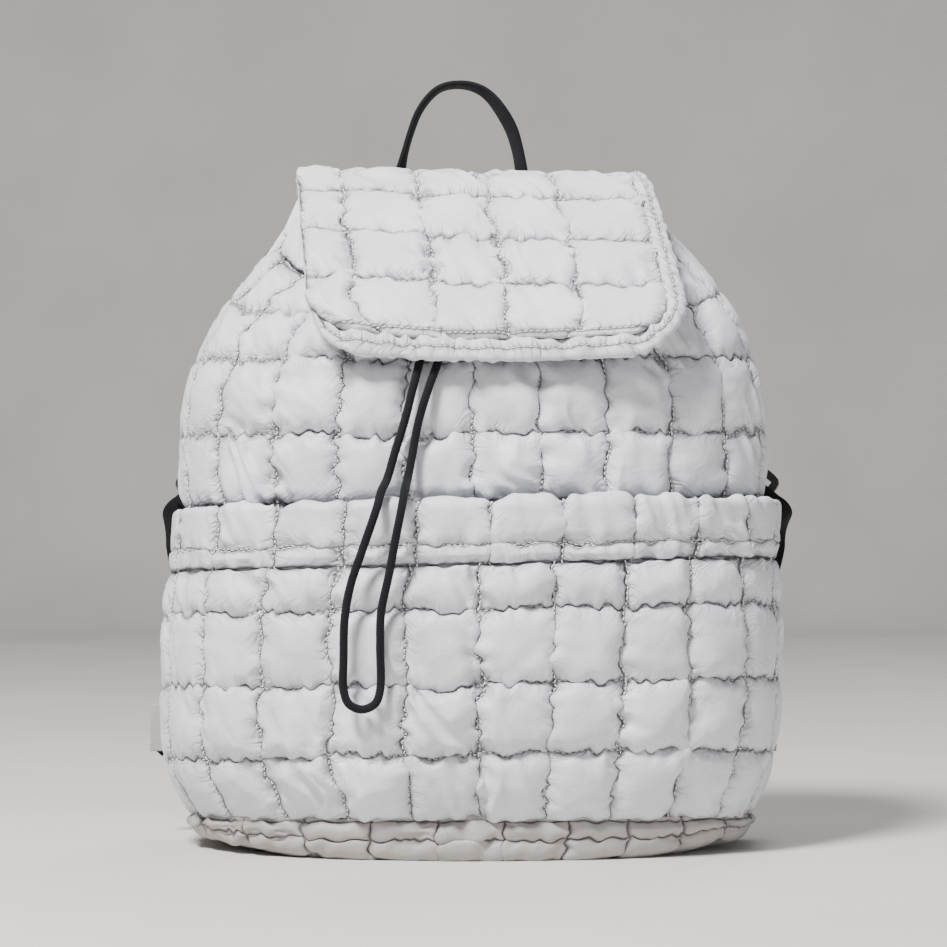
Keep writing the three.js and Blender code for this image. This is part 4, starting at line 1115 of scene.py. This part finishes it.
def make_flap_border(material):
    outline = flap_outline()
    before, after = np.roll(outline, 4, axis=0), np.roll(outline, -4, axis=0)
    before[:4], after[-4:] = outline[0], outline[-1]
    away = unit(np.stack([before[:, 1] - after[:, 1], after[:, 0] - before[:, 0]], axis=1))
    side = BORDER_LEFT + (BORDER_RIGHT - BORDER_LEFT) * (0.5 + 0.5 * away[:, 0])
    width = side + (BORDER_HEM - side) * np.maximum(away[:, 1], 0) ** 2
    # Gathered along the hem and the right side; the left side hides under the panel's fold
    drawn = 0.12 + 0.88 * np.clip(away[:, 0] + 1.2 * away[:, 1], 0, 1)
    inset = 2.6 * (1 - np.clip(2.5 * (drawn - 0.12), 0, 1))
    outline = outline - away * inset[:, None]
    face = np.maximum(width - BORDER_ROLL, 0.8)
    reach = 0.4 + np.linspace(0, 1, 14)[:, None] * face[None]
    place = outline[None] + away[None] * reach[..., None]
    hidden = outline - away * 2.2
    low = -0.7 * inset
    flat = [flap_points(hidden[:, 0], hidden[:, 1], low - 2.2)[None]]
    flat.append(flap_points(place[..., 0], place[..., 1], low))
    # The rolled edge, back under to the lining
    for angle in np.linspace(0, math.pi, 7)[1:]:
        place = outline + away * (0.4 + face + 2.0 * math.sin(angle))[:, None]
        flat.append(flap_points(place[:, 0], place[:, 1], low - 1.9 * (1 - math.cos(angle)))[None])
    flat = np.concatenate(flat)[::-1]
    row_marks = np.array([0, len(flat) - 1])
    gathers = np.array([0, len(outline) - 1])
    edge = np.clip(np.arange(len(flat)) / 9, 0.25, 1)
    outer = quilt(flat, row_marks, gathers, 18, height=1.9, seat=-0.3, reach=4.5, jag=0.4, folds=0.3,
                  pucker=(0.4, 0.4), period=3.8, ruche=1.5 * edge[:, None] * drawn[None],
                  height_map=np.clip(drawn, 0.3, 1)[None])
    place = outline + away * 0.7
    inner = np.stack([flap_points(place[:, 0], place[:, 1], low - SEAM_WALL),
                      flap_points(place[:, 0], place[:, 1], low - SEAM_WALL + 0.4)])
    stitched_rows = np.array([0, BORDER_STITCH_ROW, len(flat) - 1])
    piece = padded_piece("flap_border_ruche", outer, inner, material, stitched_rows, gathers, 28, 0.8)
    finish_piece(piece, "flap_border")
    stitched = np.nonzero(away[:, 0] > -0.6)[0]
    return outer[:, stitched]


# Handle, straps and their hardware

def band(name, path, sides, width, thickness, material, power, around=28):
    """Flat woven band along a path; sides gives its width direction at each point."""
    along = unit(np.gradient(path, axis=0))
    sides = unit(sides - along * (sides * along).sum(axis=1, keepdims=True))
    face = np.cross(along, sides)
    angle = np.linspace(0, 2 * math.pi, around, endpoint=False)
    a = np.sign(np.cos(angle)) * np.abs(np.cos(angle)) ** (2 / power)
    b = np.sign(np.sin(angle)) * np.abs(np.sin(angle)) ** (2 / power)
    points = path[:, None] + sides[:, None] * a[None, :, None] * width / 2
    points = points + face[:, None] * b[None, :, None] * thickness / 2
    return ring_object(name, points, a[None, :] * width / 2, distances(path), material)


HANDLE_ROUTE = [
    (-43.5, 72.6, 350), (-43.8, 73.5, 366), (-43.4, 79.6, 382), (-41.4, 80.0, 393.6),
    (-36.6, 79.6, 410.6), (-32.0, 79.0, 422.2), (-26.2, 78.6, 430.4), (-20.3, 78.3, 435.4),
    (-13.4, 78.0, 437.6), (-4.1, 78.0, 437.6), (4.0, 78.3, 435.0), (9.9, 78.6, 430.6),
    (15.7, 79.0, 423.4), (22.0, 79.4, 412.3), (25.6, 79.8, 400.7), (27.9, 80.0, 388.5),
    (29.2, 76.5, 376), (29.6, 73.0, 363), (29.5, 72.6, 350),
]


def make_handle(material):
    path, _ = spline(HANDLE_ROUTE, 260)
    share = np.linspace(0, 1, len(path))
    # Flat on the panel at its ends, edge-on at the left, turned to the front at the upper right
    turn = np.interp(share, [0, 0.1, 0.22, 0.5, 0.66, 0.8, 0.9, 1],
                     [0, 0.1, 1.45, 1.35, 0.75, 0.95, 0.3, 0])
    turn = np.convolve(np.pad(turn, 12, mode="edge"), np.ones(25) / 25, mode="valid")
    along = unit(np.gradient(path, axis=0))
    in_plane = np.cross(np.broadcast_to((0.0, 1.0, 0.0), along.shape), along)
    sides = in_plane * np.cos(turn)[:, None] + np.array([0.0, 1.0, 0.0]) * np.sin(turn)[:, None]
    piece = band("grab_handle_webbing", path, sides, 9.4, 3.6, material, 2.8)
    finish_piece(piece, "grab_handle")


STRAP_WIDTH = 54.0
STANDOFF = 26.0
PAD_FACE = BACK_FACE + 5.0  # outermost of the back panel's puffs
STRAP_ROUTE = [  # share of HALF_WIDTH, share of BODY_HEIGHT, off the panel, share of STRAP_WIDTH
    (0.23, 0.91, 3.1, 0.8),
    (0.27, 0.865, 0.50 * STANDOFF, 0.9),
    (0.38, 0.775, 0.92 * STANDOFF, 1),
    (0.54, 0.69, STANDOFF, 1),
    (0.71, 0.61, 0.77 * STANDOFF, 0.86),
    (0.83, 0.562, 0.54 * STANDOFF, 0.56),
]
WEBBING_ROUTE = [
    (0.95, 0.455, 0.58 * STANDOFF),
    (0.905, 0.36, 0.54 * STANDOFF),
    (0.895, 0.26, 5.8),
    (0.925, 0.165, 5.1),
]
STRAPS = [("left", -1, 1.0, 1.035, 1.035), ("right", 1, 1.03, 1.05, 0.97)]  # bows of pad, webbing and anchor
SLIDER_LENGTH = 27.0
WEBBING_WIDTH = 20.0


def strap_place(mirror, bow, row):
    return np.array([mirror * HALF_WIDTH * row[0] * bow, PAD_FACE + row[2], BODY_HEIGHT * row[1]])


def slider_frame(mirror, bow):
    end, before = (strap_place(mirror, bow, STRAP_ROUTE[k]) for k in (-1, -2))
    down = (end - before) / np.linalg.norm(end - before)
    across = np.cross(down, (0.0, 1.0, 0.0))
    across /= np.linalg.norm(across)
    out = np.cross(across, down)
    return down, across, out, end + down * (0.35 + SLIDER_LENGTH / 2)


def make_strap_pad(side, mirror, bow, material, trim):
    path, _ = spline([strap_place(mirror, bow, row) for row in STRAP_ROUTE], 5 * 20 + 1)
    share = np.linspace(0, len(STRAP_ROUTE) - 1, len(path))
    width = STRAP_WIDTH * column_value(STRAP_ROUTE, 3, share)
    along = unit(np.gradient(path, axis=0))
    level = np.array([1.0, 0, 0.25 * mirror])
    across = unit(level - along * (along @ level)[:, None])
    face = np.cross(along, across)
    # Faces away from the bag: the grid runs so that its normal is +Y
    sign = np.sign(face[:, 1].mean())
    columns, column_marks = cell_stops([-1, 0, 1], [16, 16])
    row_marks = np.arange(6) * 20
    base = path[:, None] + across[:, None] * (columns[None, :, None] * width[:, None, None] / 2 * 0.93)
    upper = base + sign * face[:, None] * 1.5
    lower = base - sign * face[:, None] * 1.5
    if grid_normals(upper)[..., 1].mean() < 0:
        upper = upper[:, ::-1]
    if grid_normals(lower)[..., 1].mean() > 0:
        lower = lower[:, ::-1]
    upper = quilt(upper, row_marks, column_marks, 31, height=3.0, seat=-0.6, reach=5)
    lower = quilt(lower, row_marks, column_marks, 32, height=2.2, seat=-0.6, reach=5)
    # padded_piece expects an inner grid that runs like the outer one
    flipped = lower[:, ::-1]
    piece = padded_piece("strap_pad_%s_quilt" % side, upper, flipped, material, row_marks, column_marks, 33)
    finish_piece(piece, "strap_pad_" + side)
    # Binding tape folded over the edge, all the way round
    edge = np.concatenate([
        path + across * (width / 2 * 0.95)[:, None],
        (path[::-1] - across[::-1] * (width[::-1] / 2 * 0.95)[:, None]),
    ])
    edge = np.vstack([edge, edge[:1]])
    edge, _ = spline(edge[::4].tolist() + [edge[-1].tolist()], 420)
    binding = tube("strap_binding_" + side, edge, 1.9, 10, trim)
    finish_piece(binding)


def make_webbing(side, mirror, pad, bow, material):
    down, across, out, middle = slider_frame(mirror, pad)

    def local(d, o):
        return middle + down * d + out * o

    # Under the lower bar, over the middle bar, back behind it and down again
    start = [local(19, -6.2), local(12, -6.6), local(2, -6.0), local(-3.2, -4.6), local(-5.4, -0.5),
             local(-3.6, 3.6), local(0, 4.3), local(3.6, 3.4), local(5.4, 0.2), local(7.2, -3.0),
             local(11.2, -3.9), local(16, -2.6), local(24, 0)]
    hanging = [strap_place(mirror, bow, row) for row in WEBBING_ROUTE]
    path, _ = spline(start + hanging, 260)
    share = smooth(np.clip(np.linspace(0, 1, len(path)) * 1.8 - 0.45, 0, 1)[:, None])
    # The width turns from the slider's to straight across the bag, the near way round
    level = np.array([np.sign(across[0]), 0, 0])
    sides = across[None] * (1 - share) + level[None] * share
    piece = band("strap_webbing_%s_tape" % side, path, sides, WEBBING_WIDTH, 1.5, material, 5.0, 28)
    finish_piece(piece, "strap_webbing_" + side)
    # Short loop that holds the slider to the pad
    loop, _ = spline([local(-27, 3.6), local(-20, 4.2), local(-13, 4.3), local(-8.6, 2.4), local(-7.6, -0.4),
                      local(-9, -3.2), local(-13, -4.3), local(-20, -4.2), local(-27, -3.4)], 120)
    loop_piece = band("strap_loop_" + side, loop, np.broadcast_to(across, loop.shape), WEBBING_WIDTH + 2, 1.4,
                      material, 5.0, 36)
    finish_piece(loop_piece)


def make_anchor(side, mirror, bow, material, trim):
    """Folded cloth tab in the back seam, with the strap's end boxed down on it."""
    seam = SEAM_HALF * BODY_ROWS[1][SEAM]
    tip = (seam + 38) * bow
    z = 0.185 * BODY_HEIGHT
    y = PAD_FACE + 0.4
    root = seam - 10
    columns, rows = 44, 34
    u = np.linspace(0, 1, columns)
    v = np.linspace(0, 1, rows)
    x = root + (tip - root) * u
    low = np.full(columns, z - 20)
    high = z + 20 - (20 - 40 / 6) * u
    flat = np.empty((rows, columns, 3))
    flat[..., 0] = mirror * x[None]
    flat[..., 1] = y + 1.6
    flat[..., 2] = low[None] + (high - low)[None] * v[:, None]
    marks_row, marks_column = np.array([0, rows - 1]), np.array([0, columns - 1])
    if grid_normals(flat)[..., 1].mean() < 0:
        flat = flat[:, ::-1]
    outer = quilt(flat, marks_row, marks_column, 41, height=1.3, seat=0, reach=3, jag=0.2, folds=0.5)
    back = flat.copy()
    back[..., 1] = y
    piece = padded_piece("strap_anchor_%s_tab" % side, outer, back, material, marks_row, marks_column, 42,
                         1.2)
    finish_piece(piece, "strap_anchor_" + side)
    ends = [(mirror * (tip - 10.5), y + 3.8, z - 11.5), (mirror * (tip - 7), y + 3.8, z - 15.5),
            (mirror * (tip - 3), y + 3.8, z - 20)]
    path, _ = spline(ends, 14)
    slant = np.broadcast_to((mirror * 20.0, 0.0, -17.0), path.shape)
    tape = band("strap_end_%s_tape" % side, path, np.cross(slant, (0.0, 1.0, 0.0)), 10, 1.4, trim, 5.0)
    finish_piece(tape)


def soften_edges(node, width):
    """Rounds the edges of a carried-over hard piece."""
    bevel = node.modifiers.new("rounding", "BEVEL")
    bevel.width = width * MM
    bevel.segments = 3
    bevel.limit_method = "ANGLE"
    bevel.angle_limit = math.radians(40)


def paint(node, material):
    node.data.materials.clear()
    node.data.materials.append(material)


# Threads

def seam_lines(grid, rows=(), columns=(), lift=0.0):
    """Lines of points and normals along some rows and columns of a grid."""
    normals = grid_normals(grid)
    lines = [(grid[r], normals[r]) for r in rows]
    lines += [(grid[:, c], normals[:, c]) for c in columns]
    return [(line + out * lift, out) for line, out in lines]


def make_threads(material, wraps, hem, flap, border):
    across, upright = [], []
    for grid, row_marks, column_marks in wraps:
        across += seam_lines(grid, row_marks[1:-1])
        upright += seam_lines(grid, (), column_marks[1:-1] + 1)
    upright += seam_lines(hem[0], (), hem[2][1:-1] + 1)

    top = seam_lines(hem[0], [hem[1][1] - 1, hem[1][1] + 1])
    top += seam_lines(flap[0][:, 8:-8], [5])
    top += seam_lines(flap[0][30:], (), [-3])
    top += seam_lines(border, [BORDER_STITCH_ROW])
    for name, lines, *sizes in (  # spacing, length, radius and lift
        ("cross_seam_threads", across, 3.5, 2.3, 0.28, 0.5),
        ("upright_seam_threads", upright, 3.1, 2.2, 0.42, 1.3),
        ("topstitching", top, 3.3, 2.5, 0.36, 0.45),
    ):
        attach(make_stitches(name, lines, material, *sizes), "root")


def make_floor():
    """Pale floor that sweeps up into a plain backdrop, behind a camera that looks from the back."""
    front_end, flat_end, radius, top, half_width = -3.0, 2.7, 0.35, 2.6, 3.5  # metres
    line = [(front_end, 0.0), (flat_end, 0.0)]
    for a in np.linspace(0.08, math.pi / 2, 16):
        line.append((flat_end + radius * math.sin(a), radius * (1 - math.cos(a))))
    line.append((flat_end + radius, top))
    xs = np.linspace(-half_width, half_width, 9)
    points = [(x / MM, y / MM, z / MM) for y, z in line for x in xs]
    index = np.arange(len(points)).reshape(len(line), len(xs))
    floor = make_object("studio_floor", points, grid_faces(index), floor_material())


# Assembly

def colour(red, green, blue):
    """Linear colour of an sRGB one given from 0 to 255."""
    values = np.array([red, green, blue]) / 255
    linear = np.where(values > 0.04045, ((values + 0.055) / 1.055) ** 2.4, values / 12.92)
    return tuple(float(v) for v in linear)


make_floor()
pale_nylon = nylon("pale_nylon", colour(231, 232, 238), colour(213, 214, 220))
# A darker copy of the pale nylon, painted with the shade under the bag, for the base and the strap anchors
# low at the back
painted_shade_nylon = nylon("base_nylon", colour(180, 175, 172), colour(160, 155, 152), 0.56)
dark_webbing = black_webbing("black_webbing", colour(21, 22, 28), 0.0011)
dark_braid = black_webbing("black_braid", colour(24, 25, 31), 0.0009)
white_thread = thread("white_thread", colour(252, 252, 252))
dark_plastic = plastic("black_plastic", colour(26, 27, 32))

exit_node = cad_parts["cord_exit"]
paint(exit_node, dark_plastic)
soften_edges(exit_node, 1.2)
make_drawcord(dark_braid)

pocket = make_front_pocket(pale_nylon)
hem = make_pocket_hem(pale_nylon)
body = make_body_wrap(pale_nylon)
make_mouth_casing(pale_nylon)
back = make_back_panel(pale_nylon)
make_base_panel(painted_shade_nylon)
flap = make_flap_panel(pale_nylon)
border = make_flap_border(pale_nylon)
make_handle(dark_webbing)
for side, mirror, pad_bow, webbing_bow, anchor_bow in STRAPS:
    make_strap_pad(side, mirror, pad_bow, pale_nylon, dark_webbing)
    make_webbing(side, mirror, pad_bow, webbing_bow, dark_webbing)
    make_anchor(side, mirror, anchor_bow, painted_shade_nylon, dark_webbing)
    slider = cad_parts["strap_slider_" + side]
    paint(slider, dark_plastic)
    soften_edges(slider, 0.9)
make_threads(white_thread, [pocket, body, flap, back], hem, flap, border)
